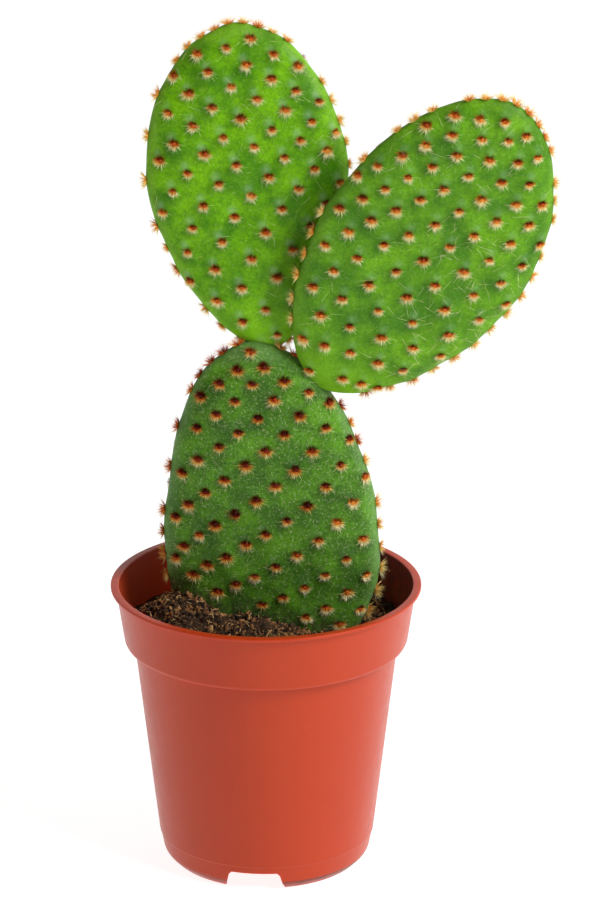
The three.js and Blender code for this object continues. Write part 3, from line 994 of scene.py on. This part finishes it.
    def cutters(self) -> Iterator[tuple[Array, list]]:
        """Make the blocks of the notches and the plugs of the drain holes.

        Yields:
            The points and the faces of each.
        """
        low, high, top = self.notch_bottom / 2.0, self.notch_top / 2.0, self.notch_height
        half = [(low, 0.0), (high + 0.3, top - 1.0), (high - 0.7, top)]
        outline = [(-low, -1.0), (low, -1.0), *half, *((-x, z) for x, z in reversed(half))]
        near, far = -self.foot_radius - 8.0, -self.foot_radius + 8.0
        start = math.radians(self.notch_turn)
        for k in range(self.notch_count):
            rings = [np.array([(x, y, z) for x, z in outline]) for y in (near, far)]
            yield self.turned(rings, start + k * TURN / self.notch_count)
        count = self.drain_sides
        angles = np.arange(count) * TURN / count
        x, y = self.drain_radius * np.cos(angles), self.drain_radius * np.sin(angles) - self.drain_ring
        for k in range(self.drain_count):
            rings = [np.column_stack([x, y, np.full(count, z)])
                     for z in (self.skirt_top - 4.0, self.skirt_top + 6.0)]
            yield self.turned(rings, start + k * TURN / self.drain_count)

    @staticmethod
    def turned(rings: list[Array], angle: float) -> tuple[Array, list]:
        """Close two rings into a block and turn it about the pot's axis.

        Args:
            rings: the block's two ends.
            angle: the turn in radians.

        Returns:
            The block's points and faces.
        """
        points, faces = lofted(rings[0].mean(0), rings, rings[1].mean(0))
        turn = np.array(Matrix.Rotation(angle, 3, "Z"))
        return points @ turn.T, faces


# The soil


@dataclass(frozen=True)
class Mound:
    """A round rise of the soil about a place."""

    x: float
    y: float
    height: float
    reach: float

    def rise(self, x: Array, y: Array) -> Array:
        """Return how much the mound adds to the soil at places given in millimetres."""
        return self.height * np.exp(-((x - self.x) ** 2 + (y - self.y) ** 2) / self.reach**2)


@dataclass(frozen=True)
class Wave:
    """A straight swell of a surface: radians a millimetre each way, a shift and a height."""

    x: float
    y: float
    shift: float
    height: float

    def rise(self, x: Array, y: Array) -> Array:
        """Return how much the swell adds to the surface at places given in millimetres."""
        return self.height * np.sin(self.x * x + self.y * y + self.shift)


@dataclass
class Soil:
    """Peat that fills the pot, mounded against the plant, with loose crumbs and fibres."""

    pot: Pot
    level: float = 82.3
    shapes: tuple[Mound | Wave, ...] = (
        Mound(-29.0, -5.0, 14.0, 15.0), Mound(-3.0, -13.0, 7.0, 14.0),
        Wave(0.42, 0.37, 1.1, 0.6), Wave(-0.33, 0.81, 0.0, 0.4))
    grain: float = 0.5
    grain_waves: int = 14
    grain_pitch: float = 2.4
    grain_seed: int = 7
    shade: float = 0.06
    gap: float = 0.35
    margin: int = 5
    rings: int = 84
    sides: int = 240
    finish: Peat = field(default_factory=Peat)

    def top(self, x: Array, y: Array) -> Array:
        """Return the soil's height at places given in millimetres."""
        return self.level + sum(shape.rise(x, y) for shape in self.shapes)

    def surface(self) -> list[Array]:
        """Work out the surface with its fine lumps.

        Returns:
            Its rings, from the middle to the wall.
        """
        draw = np.random.default_rng(self.grain_seed)
        count = self.grain_waves
        reach = float(self.pot.inner_radius(self.level)) - self.gap
        angles = np.arange(self.sides) * TURN / self.sides
        waves = draw.uniform(-1.0, 1.0, (count, 2)) * self.grain_pitch
        shifts = draw.uniform(0.0, TURN, count)
        made = []
        for share in (np.arange(self.rings) + 1.0) / self.rings:
            x, y = share * reach * np.cos(angles), share * reach * np.sin(angles)
            fine = sum(np.sin(wx * x + wy * y + s) for (wx, wy), s in zip(waves, shifts)) / count**0.5
            made.append(np.column_stack([x, y, self.top(x, y) + self.grain * fine]))
        return made

    def build(self) -> list[bpy.types.Object]:
        """Build the body of soil and scatter what lies on it.

        Returns:
            The finished pieces.
        """
        top = self.surface()
        centre = np.array([0.0, 0.0, float(self.top(0.0, 0.0))])
        bottom = self.pot.skirt_top + self.pot.floor + self.gap
        circle = top[-1][:, :2] / np.linalg.norm(top[-1][:, :2], axis=1, keepdims=True)
        above, below = self.pot.band_foot + self.pot.wall, self.pot.band_foot - self.pot.wall
        fillet = self.pot.floor_fillet + self.gap
        walled = self.pot.inner_radius(np.array([above, below, bottom + fillet, bottom]))
        inner = [float(radius) - self.gap for radius in walled]
        heights = (above + 2.0 * self.gap, below + 2.0 * self.gap, bottom + fillet, bottom)
        radii = (*inner[:3], inner[3] - self.pot.floor_fillet)
        walls = [np.column_stack([circle * r, np.full(self.sides, z)]) for r, z in zip(radii, heights)]
        points, faces = lofted(centre, [*top, *walls], np.array([0.0, 0.0, bottom]))
        mesh = new_mesh("potting_soil", points, faces)
        store(mesh, "shade", np.full(len(points), self.shade))
        material = self.finish.material()
        mesh.materials.append(material)
        body = finished(new_object(mesh, "potting_soil"), "soil", "soil")
        bed_points, bed_faces = lofted(centre, top[: -self.margin], centre)
        bed = new_mesh("soil_bed", bed_points[:-1], [f for f in bed_faces if len(bed_points) - 1 not in f])
        crumbs = CrumbTree().grow(bed, "soil_crumbs", Density=1.2e6, Smallest=0.3 * MM, Largest=1.6 * MM,
                                  Slenderness=2.6, Dark=-0.24, Light=0.62, Seed=3, Material=material)
        fibres = FibreTree().grow(bed, "soil_fibres", Density=0.42e6, Shortest=1.0 * MM, Longest=4.8 * MM,
                                  Thickness=0.17 * MM, Tilt=0.6, Dark=0.2, Light=1.0, Seed=5,
                                  Material=material)
        bpy.data.meshes.remove(bed)
        return [body, finished(crumbs, "soil"), finished(fibres, "soil")]


# The pads


@dataclass(frozen=True)
class Lattice:
    """The spiral lattice of a face's areoles: a start and two steps, each across and up.

    Over i steps a and j steps b the rows curve as the pad grew: bend goes with ii, ij and jj, and
    twist with iii, iij, ijj and jjj.
    """

    start: tuple[float, float]
    a: tuple[float, float]
    b: tuple[float, float]
    bend: tuple[tuple[float, float], ...]
    twist: tuple[tuple[float, float], ...]
    span: int = 9
    room: float = 1.3
    jitter: float = 0.3
    face_reach: float = 0.96
    apart: float = 5.4
    edge_apart: float = 4.6
    end: float = 0.02
    edge_step: float = 7.8
    crowd: float = 0.4
    crowd_power: int = 4
    walk: int = 720

    def bent(self, i: int, j: int) -> Array:
        """Return a place on the bent lattice, across and along, by its two step counts."""
        steps = np.array([self.start, self.a, self.b, *self.bend, *self.twist])
        return np.array([1, i, j, i * i, i * j, j * j, i**3, i * i * j, i * j * j, j**3]) @ steps

    def reaches(self, i: int, j: int, width: float, length: float) -> bool:
        """Tell whether the straight lattice has a place on a pad of this size or near it."""
        across, height = np.array([1, i, j]) @ np.array([self.start, self.a, self.b])
        return (2.0 * abs(across) <= self.room * width
                and 2.0 * abs(height - length / 2.0) <= self.room * length)

    def edge_gap(self, along: float) -> float:
        """Return the step between the edge's areoles at a share of the length: they close up at the tip."""
        return self.edge_step * (1.0 - self.crowd * along**self.crowd_power)


@dataclass(frozen=True)
class Spot:
    """One areole in its pad's own frame."""

    at: Array
    normal: Array
    edge: bool


@dataclass(frozen=True)
class Spread:
    """A soft patch about an areole: where its middle lies from it, and how far it reaches."""

    shift: tuple[float, float, float]
    reach: float

    def share(self, offset: Array) -> Array:
        """Return the patch's strength at offsets from the areole, 1 in its middle."""
        return np.exp(-((offset - np.array(self.shift)) ** 2).sum(-1) / self.reach**2)


@dataclass
class Pad:
    """One flat stem segment, an egg in outline, with the bristle tufts that it carries."""

    node: str
    slot: str
    foot: tuple[float, float, float]
    lean: float
    tilt: float
    length: float
    width: float
    egg: float
    square: float
    skew: float
    thickness: float
    curl: float
    lattice: Lattice
    skin: CactusSkin
    tone: Callable[[Array, Array], Array]
    hairiness: Callable[[Array, Array], Array]
    hair_density: float
    seed: int
    hair_length: float = 4.0
    cross: float = 2.8
    lengthways: float = 4.5
    around: int = 264
    rings: int = 62
    ring_crowd: float = 1.8
    tuft_size: float = 0.79
    uneven_size: tuple[float, float] = (0.82, 1.16)
    uneven_tone: float = 0.06
    # How far out a tuft's tip stands, and the room that it needs from the soil and the other pads
    tuft_reach: float = 1.5
    soil_room: float = 0.8
    pad_room: float = 1.2
    # The skin about an areole: a mound, a pale halo above it and painted shade below, all narrower across the
    # edge
    squash: float = 1.4
    mound: Spread = Spread((0.0, 0.0, 0.0), 3.1)
    halo: Spread = Spread((-0.9, 0.0, 2.5), 1.25)
    shadow: Spread = Spread((-0.5, 0.0, -1.2), 2.4)
    mound_rise: float = 0.2
    face_extra: float = 0.15
    # The slow swells of the whole skin
    swell: float = 0.16
    waves: tuple[Wave, ...] = (Wave(0.16, 0.23, 0.0, 1.0), Wave(0.31, -0.17, 1.3, 1.0),
                               Wave(0.4, 0.11, 2.0, 1.0))
    # Heights above the soil where the dirt starts to thin out and where it ends
    dirt_rise: tuple[float, float] = (-1.0, 16.0)
    scars: tuple[tuple[float, float, float], ...] = ()

    def middle(self, along: Array) -> Array:
        """Return the middle line's place across the pad."""
        return self.skew * self.width * 4.0 * along * (1.0 - along)

    def outline(self, angle: Array) -> tuple[Array, Array]:
        """Work out places on the outline.

        Args:
            angle: 0 at the foot and half a turn at the tip, in radians.

        Returns:
            The places across the pad and along it.
        """
        along = (1.0 - np.cos(angle)) / 2.0
        swell = 1.0 - self.egg * np.cos(angle) + self.square * np.cos(2.0 * angle)
        return 0.5 * self.width * np.sin(angle) * swell + self.middle(along), self.length * along

    def half_width(self, along: Array) -> Array:
        """Return half the pad's width at shares of its length."""
        return self.outline(np.arccos(1.0 - 2.0 * along))[0] - self.middle(along)

    def half_thickness(self, across: Array, height: Array) -> Array:
        """Work out half the pad's thickness.

        Args:
            across: places across the pad.
            height: places along it.

        Returns:
            Half the thickness at each place, 0 outside the outline.
        """
        along = np.clip(height / self.length, 0.0, 1.0)
        edge = np.maximum(self.half_width(along), 1e-6)
        side = np.clip(np.abs(across - self.middle(along)) / edge, 0.0, 1.0)
        ends = 1.0 - np.abs(2.0 * along - 1.0) ** self.lengthways
        return 0.5 * self.thickness * np.sqrt(np.maximum((1.0 - side**self.cross) * ends, 0.0))

    def face(self, across: Array, height: Array, side: int) -> Array:
        """Return points of the skin, side -1 in front and 1 behind."""
        curl = self.curl * (height / self.length) ** 2
        return np.stack([across, side * self.half_thickness(across, height) + curl, height], -1)

    def face_normal(self, across: float, height: float, side: int, step: float = 0.2) -> Array:
        """Work out the skin's outward direction at a place of one face.

        Args:
            across: the place across the pad.
            height: the place along it.
            side: -1 in front and 1 behind.
            step: the distance that the slope is taken over.

        Returns:
            The direction, of unit length.
        """
        here = self.face(np.array(across), np.array(height), side)
        right = self.face(np.array(across + step), np.array(height), side) - here
        up = self.face(np.array(across), np.array(height + step), side) - here
        out = np.cross(right, up) * -side
        return out / np.linalg.norm(out)

    def place(self) -> Matrix:
        """Return the matrix from the pad's own frame to the pot's axis."""
        tilt, lean = -math.radians(self.tilt), math.radians(self.lean)
        return Matrix.Translation(self.foot) @ (Matrix.Rotation(tilt, 4, "X") @ Matrix.Rotation(lean, 4, "Y"))

    def out(self, points: Array, directions: bool = False) -> Array:
        """Move points, or turn directions, from the pad's own frame to the pot's axis.

        Args:
            points: rows of x, y, z.
            directions: whether they only turn.

        Returns:
            The same rows at the pot's axis.
        """
        matrix = np.array(self.place())
        turned = points @ matrix[:3, :3].T
        return turned if directions else turned + matrix[:3, 3]

    def contains(self, point: Array, margin: float) -> bool:
        """Tell whether a point lies in the pad or near it.

        Args:
            point: the point from the pot's axis.
            margin: how near counts.

        Returns:
            True where it does.
        """
        local = np.array(self.place().inverted() @ Vector(point))
        near = self.face(np.array(local[0]), np.array(np.clip(local[2], 0.0, self.length)), 1)
        half = float(self.half_thickness(np.array(local[0]), np.array(local[2]))) + margin
        inside_long = -margin < local[2] < self.length + margin
        return inside_long and half > margin and abs(local[1] - (near[1] - half + margin)) < half

    def lattice_place(self, side: int, i: int, j: int) -> Array:
        """Find a place of a face's lattice, drawn in to the pad's width.

        Args:
            side: -1 in front and 1 behind, where the rows are mirrored.
            i: steps a of the lattice.
            j: steps b of the lattice.

        Returns:
            The place across the pad and along it.
        """
        across, height = self.lattice.bent(i, j)
        along = np.clip(height / self.length, self.lattice.end, 1.0 - self.lattice.end)
        share = self.half_width(along) / (self.width / 2.0)
        return np.array([self.middle(along) - side * across * share, height])

    def face_spots(self, side: int, draw: Draw) -> list[Spot]:
        """Place the areoles of one face by the part's own rule and draws.

        Args:
            side: -1 in front and 1 behind.
            draw: the row of random numbers.

        Returns:
            The areoles.
        """
        grid = self.lattice
        centre = np.array([float(self.middle(np.array(0.5))), self.length / 2.0])
        made = []
        for i in range(-grid.span, grid.span + 1):
            for j in range(-grid.span, grid.span + 1):
                if not grid.reaches(i, j, self.width, self.length):
                    continue
                stray = grid.jitter * (2.0 * np.array([draw(), draw()]) - 1.0)
                place = self.lattice_place(side, i, j) + stray
                far = (place - centre) / grid.face_reach + centre
                outside = not 0.0 < far[1] < self.length
                if outside or self.half_thickness(far[0], far[1]) == 0.0:
                    continue
                at = self.face(place[0], place[1], side)
                if all(np.linalg.norm(spot.at - at) >= grid.apart for spot in made):
                    made.append(Spot(at, self.face_normal(place[0], place[1], side), False))
        return made

    def edge_spots(self, faces: list[Spot]) -> list[Spot]:
        """Place the areoles of the edge.

        Args:
            faces: the areoles of both faces.

        Returns:
            Those that stand clear of the faces' own.
        """
        grid = self.lattice
        across, height = self.outline(np.arange(grid.walk) * TURN / grid.walk)
        made = []
        travelled = 0.0
        for k, step in enumerate(np.hypot(np.diff(across), np.diff(height)), start=1):
            travelled += step
            if travelled < grid.edge_gap(height[k] / self.length):
                continue
            travelled = 0.0
            tangent = np.array([across[k] - across[k - 1], height[k] - height[k - 1]]) / step
            at = np.array([across[k], self.curl * (height[k] / self.length) ** 2, height[k]])
            if all(np.linalg.norm(spot.at - at) >= grid.edge_apart for spot in faces):
                made.append(Spot(at, np.array([tangent[1], 0.0, -tangent[0]]), True))
        return made

    def spots(self) -> list[Spot]:
        """Place all the areoles.

        Returns:
            Those of both faces and of the edge.
        """
        draw = Draw(self.seed)
        faces = [*self.face_spots(-1, draw), *self.face_spots(1, draw)]
        return faces + self.edge_spots(faces)

    def body_rings(self) -> tuple[Array, list[Array], Array]:
        """Work out the smooth skin.

        Returns:
            The front's middle, the rings over the edge and the back's middle.
        """
        cx, cz = float(self.middle(np.array(0.5))), self.length / 2.0
        across, height = self.outline(np.arange(self.around) * TURN / self.around)
        reaches = 1.0 - (1.0 - (np.arange(self.rings) + 1.0) / self.rings) ** self.ring_crowd
        rings = []
        for side, order in ((-1, reaches), (1, reaches[:-1][::-1])):
            for reach in order:
                x, z = (across - cx) * reach + cx, (height - cz) * reach + cz
                ring = self.face(x, z, side)
                if reach == 1.0:
                    ring[:, 1] = self.curl * (z / self.length) ** 2
                rings.append(ring)
        middle = [self.face(np.array(cx), np.array(cz), side) for side in (-1, 1)]
        return middle[0], rings, middle[1]

    def relief(self, points: Array, spots: list[Spot]) -> dict[str, Array]:
        """Work out the skin's relief and its masks.

        Args:
            points: the smooth skin's points in the pad's own frame.
            spots: the pad's areoles.

        Returns:
            By name, a number for each point: rise in millimetres, and the masks of the finish.
        """
        offset = points[:, None, :] - np.array([spot.at for spot in spots])[None]
        offset[..., 1] *= self.squash
        face = np.array([0.0 if spot.edge else 1.0 for spot in spots])
        mound = (self.mound.share(offset) * (self.mound_rise + self.face_extra * face)).max(1)
        along = points[:, 2] / self.length
        edge = np.maximum(self.half_width(np.clip(along, 0.0, 1.0)), 1e-6)
        side = np.abs(points[:, 0] - self.middle(along)) / edge
        waves = sum(wave.rise(points[:, 0], points[:, 2]) for wave in self.waves)
        return {
            "rise": mound + self.swell * waves,
            "bloom": (self.halo.share(offset) * face).max(1),
            # Painted shade: a darker green just below each areole
            "speckle_and_shade": self.shadow.share(offset).max(1),
            "rim": smooth(0.86, 1.0, np.maximum(side, np.abs(2.0 * along - 1.0))),
            "foot": 1.0 - smooth(0.02, 0.2, along),
        }

    def build(self, soil: Soil, others: list["Pad"]) -> list[bpy.types.Object]:
        """Build the skin, the tufts and the loose hairs.

        Args:
            soil: the soil that buries what is below it.
            others: the other pads, which crowd out tufts.

        Returns:
            The finished pieces.
        """
        spots = self.spots()
        first, rings, last = self.body_rings()
        local, faces = lofted(first, rings, last)
        values = self.relief(local, spots)
        mesh = new_mesh(f"{self.node}_skin", self.out(local), faces)
        normals = np.empty(len(local) * 3, np.float32)
        mesh.vertices.foreach_get("normal", normals)
        placed = self.out(local) + values.pop("rise")[:, None] * normals.reshape(-1, 3)
        mesh.vertices.foreach_set("co", to_frame(placed).astype(np.float32).ravel())
        mesh.update()
        for name, value in values.items():
            store(mesh, name, value)
        above = placed[:, 2] - soil.top(placed[:, 0], placed[:, 1])
        dirt = 1.0 - smooth(*self.dirt_rise, above)
        for across, height, radius in self.scars:
            away = np.hypot(local[:, 0] - across, local[:, 2] - height)
            dirt = np.maximum(dirt, (1.0 - smooth(0.5 * radius, radius, away)) * (local[:, 1] < 0.0))
        store(mesh, "dirt", dirt)
        hairy = self.hairiness(local[:, 0] / self.width, local[:, 2] / self.length)
        store(mesh, "hairy", hairy * (above > 1.0))
        mesh.materials.append(self.skin.material())
        body = finished(new_object(mesh, f"{self.node}_skin"), self.slot, self.node)
        return [body, *self.tufts(spots, soil, others), self.hairs(mesh)]

    def tufts(self, spots: list[Spot], soil: Soil, others: list["Pad"]) -> list[bpy.types.Object]:
        """Build the bristles of every areole that stands clear of the soil and the other pads.

        Args:
            spots: the pad's areoles.
            soil: the soil.
            others: the other pads.

        Returns:
            The finished pieces.
        """
        kept = []
        for spot in spots:
            tip = self.out(spot.at + spot.normal * self.tuft_reach)
            buried = tip[2] < float(soil.top(tip[0], tip[1])) + self.soil_room
            if not buried and not any(pad.contains(tip, self.pad_room) for pad in others):
                kept.append(spot)
        faces, edge = (self.areoles([spot for spot in kept if spot.edge == on_edge], spots)
                       for on_edge in (False, True))
        finish = Bristle().material()
        felt, tree = FeltTree(), TuftTree()
        pieces = [
            felt.grow(faces, f"{self.node}_face_felt", Radius=0.95 * MM, Height=0.75 * MM, Tone=0.2, Seed=5,
                      Material=finish),
            felt.grow(edge, f"{self.node}_edge_felt", Radius=1.0 * MM, Height=0.6 * MM, Tone=0.3, Seed=5,
                      Material=finish),
            tree.grow(faces, f"{self.node}_bristle_caps", Count=150, Length=2.15 * MM, Uneven=0.28,
                      Thickness=0.1 * MM, Root=1.15 * MM, Inner_angle=0.05, Outer_angle=1.1, Arc=TURN,
                      Droop=0.05, Sink=0.15 * MM, Fade=0.1, Slant=0.6, Tone=0.18, Seed=11, Material=finish),
            tree.grow(faces, f"{self.node}_bristle_sprays", Count=28, Length=3.0 * MM, Uneven=0.4,
                      Thickness=0.07 * MM, Root=1.1 * MM, Inner_angle=0.75, Outer_angle=1.4, Arc=0.6 * TURN,
                      Droop=0.15, Sink=0.1 * MM, Fade=0.1, Slant=0.2, Tone=0.55, Seed=23, Material=finish),
            tree.grow(edge, f"{self.node}_edge_bristles", Count=90, Length=3.2 * MM, Uneven=0.45,
                      Thickness=0.11 * MM, Root=1.2 * MM, Inner_angle=0.05, Outer_angle=1.15, Arc=TURN,
                      Droop=0.0, Sink=0.2 * MM, Fade=0.16, Slant=0.1, Tone=0.24, Seed=17, Material=finish)]
        for mesh in (faces, edge):
            bpy.data.meshes.remove(mesh)
        return [finished(piece, self.slot) for piece in pieces]

    def areoles(self, chosen: list[Spot], spots: list[Spot]) -> bpy.types.Mesh:
        """Make a mesh of points for chosen areoles.

        Args:
            chosen: the areoles that the mesh has.
            spots: all the pad's areoles, which the skin rises about.

        Returns:
            The mesh, with each point's outward and downhill directions, size and tone.
        """
        local = np.array([spot.at for spot in chosen])
        normals = self.out(np.array([spot.normal for spot in chosen]), directions=True)
        way = np.array([0.0, 0.0, -1.0]) - normals * -normals[:, 2:3]
        short = np.linalg.norm(way, axis=1) < 0.3
        way[short] = np.array([0.0, 1.0, 0.0]) - normals[short] * normals[short, 1:2]
        way /= np.linalg.norm(way, axis=1, keepdims=True)
        rise = self.relief(local, spots)["rise"][:, None]
        points = new_mesh(f"{self.node}_areoles", self.out(local) + rise * normals, [])
        draw = np.random.default_rng(self.seed)
        tone = self.tone(local[:, 0] / self.width, local[:, 2] / self.length)
        store(points, "normal", normals)
        store(points, "down", way)
        store(points, "size", self.tuft_size * draw.uniform(*self.uneven_size, len(chosen)))
        store(points, "tone", tone + self.uneven_tone * draw.standard_normal(len(chosen)))
        return points

    def hairs(self, mesh: bpy.types.Mesh) -> bpy.types.Object:
        """Scatter loose hairs over the skin."""
        made = HairTree().grow(mesh, f"{self.node}_hairs", Density=self.hair_density / MM**2,
                               Length=self.hair_length * MM, Uneven=0.6, Thickness=0.036 * MM, Stand=0.25,
                               Tint=0.85, Seed=31, Material=Bristle(name="loose_hair").material())
        return finished(made, self.slot)


def old_tone(x: Array, z: Array) -> Array:
    """Return how pale the base pad's tufts are: dark on top, orange at the left, cream low at the right."""
    left, low = smooth(0.2, 0.48, -x), 1.0 - smooth(0.2, 0.55, z)
    return 0.16 * left + 0.08 * low + 0.3 * smooth(0.15, 0.5, x + 0.4 * (0.5 - z)) - 0.1


def base_pad() -> Pad:
    """Make the oldest pad, thick and grey-green, its lower end in the soil.

    Returns:
        The pad.
    """
    lattice = Lattice(start=(-4.8, 65.2), a=(7.78, 4.39), b=(-10.89, 7.89),
                      bend=((0.21, 0.22), (-0.14, -0.1), (-0.03, -0.13)),
                      twist=((-0.04, 0.03), (0.2, -0.13), (-0.19, 0.09), (0.09, -0.05)))
    skin = CactusSkin(name="old_skin", flesh="#5E981C", shade="#3E6A1A", rim="#7CA662", foot="#7FA01C",
                      speckle_and_shade="#1F420E", fleck="#BCCB9C", fleck_share=0.62, speckle_share=0.64,
                      bloom_share=0.08, roughness=(0.42, 0.6))
    return Pad("pad_base", "pad_old", foot=(2.6, 0.0, 66.2), lean=-3.6, tilt=0.0, length=117.6, width=74.5,
               egg=-0.175, square=0.05, skew=0.036, thickness=17.0, curl=0.0, lattice=lattice, skin=skin,
               tone=old_tone, hairiness=lambda x, z: 0.5 + 0.5 * np.abs(x), hair_density=0.35,
               hair_length=0.9, seed=4217, tuft_size=0.85, uneven_tone=0.1)


def left_pad() -> Pad:
    """Make the younger pad on the crest of the base pad, leaning a little left.

    Returns:
        The pad.
    """
    lattice = Lattice(start=(-2.8, 63.8), a=(5.79, 5.47), b=(-3.39, 10.06),
                      bend=((0.07, -0.15), (0.17, -0.49), (0.08, -0.41)),
                      twist=((-0.02, 0.05), (0.09, 0.21), (0.08, 0.29), (0.02, 0.18)))
    skin = CactusSkin(name="young_skin", flesh="#78BA02", shade="#498704", rim="#93C83E", foot="#88CC08",
                      speckle_and_shade="#2C5C06", bloom_share=0.48)
    return Pad("pad_left", "pad_young", foot=(1.0, 2.9, 180.4), lean=-6.0, tilt=4.0, length=109.6, width=59.6,
               egg=0.18, square=-0.1, skew=-0.01, thickness=11.5, curl=2.0, lattice=lattice, skin=skin,
               tone=lambda x, z: 0.18 + 0.0 * x, hairiness=lambda x, z: 0.4 + 0.6 * smooth(-0.2, 0.5, x),
               hair_density=0.03, seed=5117)


def long_haired(x: Array, z: Array) -> Array:
    """Return how hairy the right pad is: most low down at its right side."""
    return 0.1 + 0.9 * smooth(0.0, 0.3, x) * (1.0 - smooth(0.45, 0.75, z))


def right_pad() -> Pad:
    """Make the younger pad on the base pad's right shoulder, leaning right.

    Returns:
        The pad.
    """
    lattice = Lattice(start=(4.8, 67.9), a=(8.2, -4.82), b=(4.58, 8.04),
                      bend=((-0.13, -0.21), (0.06, 0.33), (-0.14, -0.05)),
                      twist=((-0.06, -0.04), (-0.09, 0.04), (-0.05, -0.05), (-0.01, 0.02)))
    skin = CactusSkin(name="young_skin_right", flesh="#6CA910", shade="#478010", rim="#80B036",
                      foot="#84C414", speckle_and_shade="#2E5E0C", rim_share=0.3, bloom_share=0.28)
    return Pad("pad_right", "pad_young", foot=(17.9, -1.8, 169.1), lean=32.2, tilt=-8.0, length=119.8,
               width=66.0, egg=0.055, square=-0.07, skew=0.035, thickness=12.0, curl=-2.0, lattice=lattice,
               skin=skin, tone=lambda x, z: 0.2 + 0.0 * x, hairiness=long_haired, hair_density=0.12,
               hair_length=4.6, seed=6017, scars=((-1.5, 64.5, 1.1), (-2.4, 64.9, 0.7)))


# The studio


@dataclass
class Studio:
    """White floor, soft light and the camera at the photograph's angle."""

    distance: float = 1500.0
    pitch: float = 19.42
    target: tuple[float, float, float] = (11.48, 0.0, 145.87)
    lens: float = 179.4
    floor_size: float = 8.0
    finish: OpalAcrylic = field(default_factory=OpalAcrylic)

    def camera(self) -> None:
        """Add the camera."""
        data = bpy.data.cameras.new("camera")
        data.lens = self.lens
        data.sensor_width = 36.0
        data.clip_start, data.clip_end = 0.05, 50.0
        made = new_object(data, "camera")
        pitch = math.radians(self.pitch)
        away = np.array([0.0, -math.cos(pitch), math.sin(pitch)]) * self.distance
        made.location = to_frame(np.array(self.target) + away)
        made.rotation_euler = Euler((math.pi / 2.0 - pitch, 0.0, 0.0))
        bpy.context.scene.camera = made

    def lamp(self, name: str, turn: float, lift: float, reach: float, size: float, watts: float) -> None:
        """Add a soft box that faces the plant.

        Args:
            name: the light's name.
            turn: degrees from the camera's side towards the right.
            lift: degrees above the horizon.
            reach: metres from the plant.
            size: metres of the soft box's side.
            watts: its power.
        """
        data = bpy.data.lights.new(name, "AREA")
        data.shape = "DISK"
        data.size = size
        data.energy = watts
        made = new_object(data, name)
        side, up = math.radians(turn), math.radians(lift)
        away = Vector((math.sin(side) * math.cos(up), -math.cos(side) * math.cos(up), math.sin(up)))
        made.location = Vector(to_frame(np.array(self.target))) + away * reach
        made.rotation_euler = (-away).to_track_quat("-Z", "Y").to_euler()

    def surround(self) -> None:
        """Make the surround: white low behind the plant, dim above, at the left and on the camera's side."""
        world = bpy.data.worlds.new("surround")
        bpy.context.scene.world = world
        world.use_nodes = True
        add = Nodes(world.node_tree).add
        way = add("ShaderNodeTexCoord").outputs["Generated"]
        parts = add("ShaderNodeSeparateXYZ", way).outputs
        behind = add("ShaderNodeMapRange", parts["Y"], -0.4, 0.35, 0.1, 0.95, interpolation_type="SMOOTHSTEP")
        low = add("ShaderNodeMapRange", parts["Z"], 0.35, 0.85, 1.0, 0.15, interpolation_type="SMOOTHSTEP")
        aside = add("ShaderNodeMapRange", parts["X"], -0.7, 0.7, 0.78, 1.12)
        even = add("ShaderNodeMath", behind, low, operation="MULTIPLY")
        total = add("ShaderNodeMath", even, aside, operation="MULTIPLY")
        light = add("ShaderNodeBackground", (1.0, 1.0, 1.0, 1.0), total)
        add("ShaderNodeOutputWorld", links={"Surface": light})

    def floor(self) -> None:
        """Lay the floor."""
        half = self.floor_size / 2.0 / MM
        corners = np.array([(-half, -half, 0.0), (half, -half, 0.0), (half, half, 0.0), (-half, half, 0.0)])
        made = new_object(new_mesh("studio_floor", corners, [(0, 1, 2, 3)]), "studio_floor")
        made.data.materials.append(self.finish.material())

    def build(self) -> None:
        """Set up the camera, the light and the floor."""
        bpy.context.scene.view_settings.view_transform = "Standard"
        self.camera()
        self.surround()
        self.floor()
        self.lamp("key", turn=55.0, lift=38.0, reach=1.1, size=0.55, watts=11.8)


def main() -> None:
    """Build the pot, the soil, the pads and the studio in order."""
    logging.basicConfig(level=logging.INFO, format="%(name)s %(message)s")
    pot = Pot()
    pot.build()
    soil = Soil(pot)
    soil.build()
    pads = [base_pad(), left_pad(), right_pad()]
    for pad in pads:
        pad.build(soil, [other for other in pads if other is not pad])
    Studio().build()


if __name__ == "__main__":
    main()
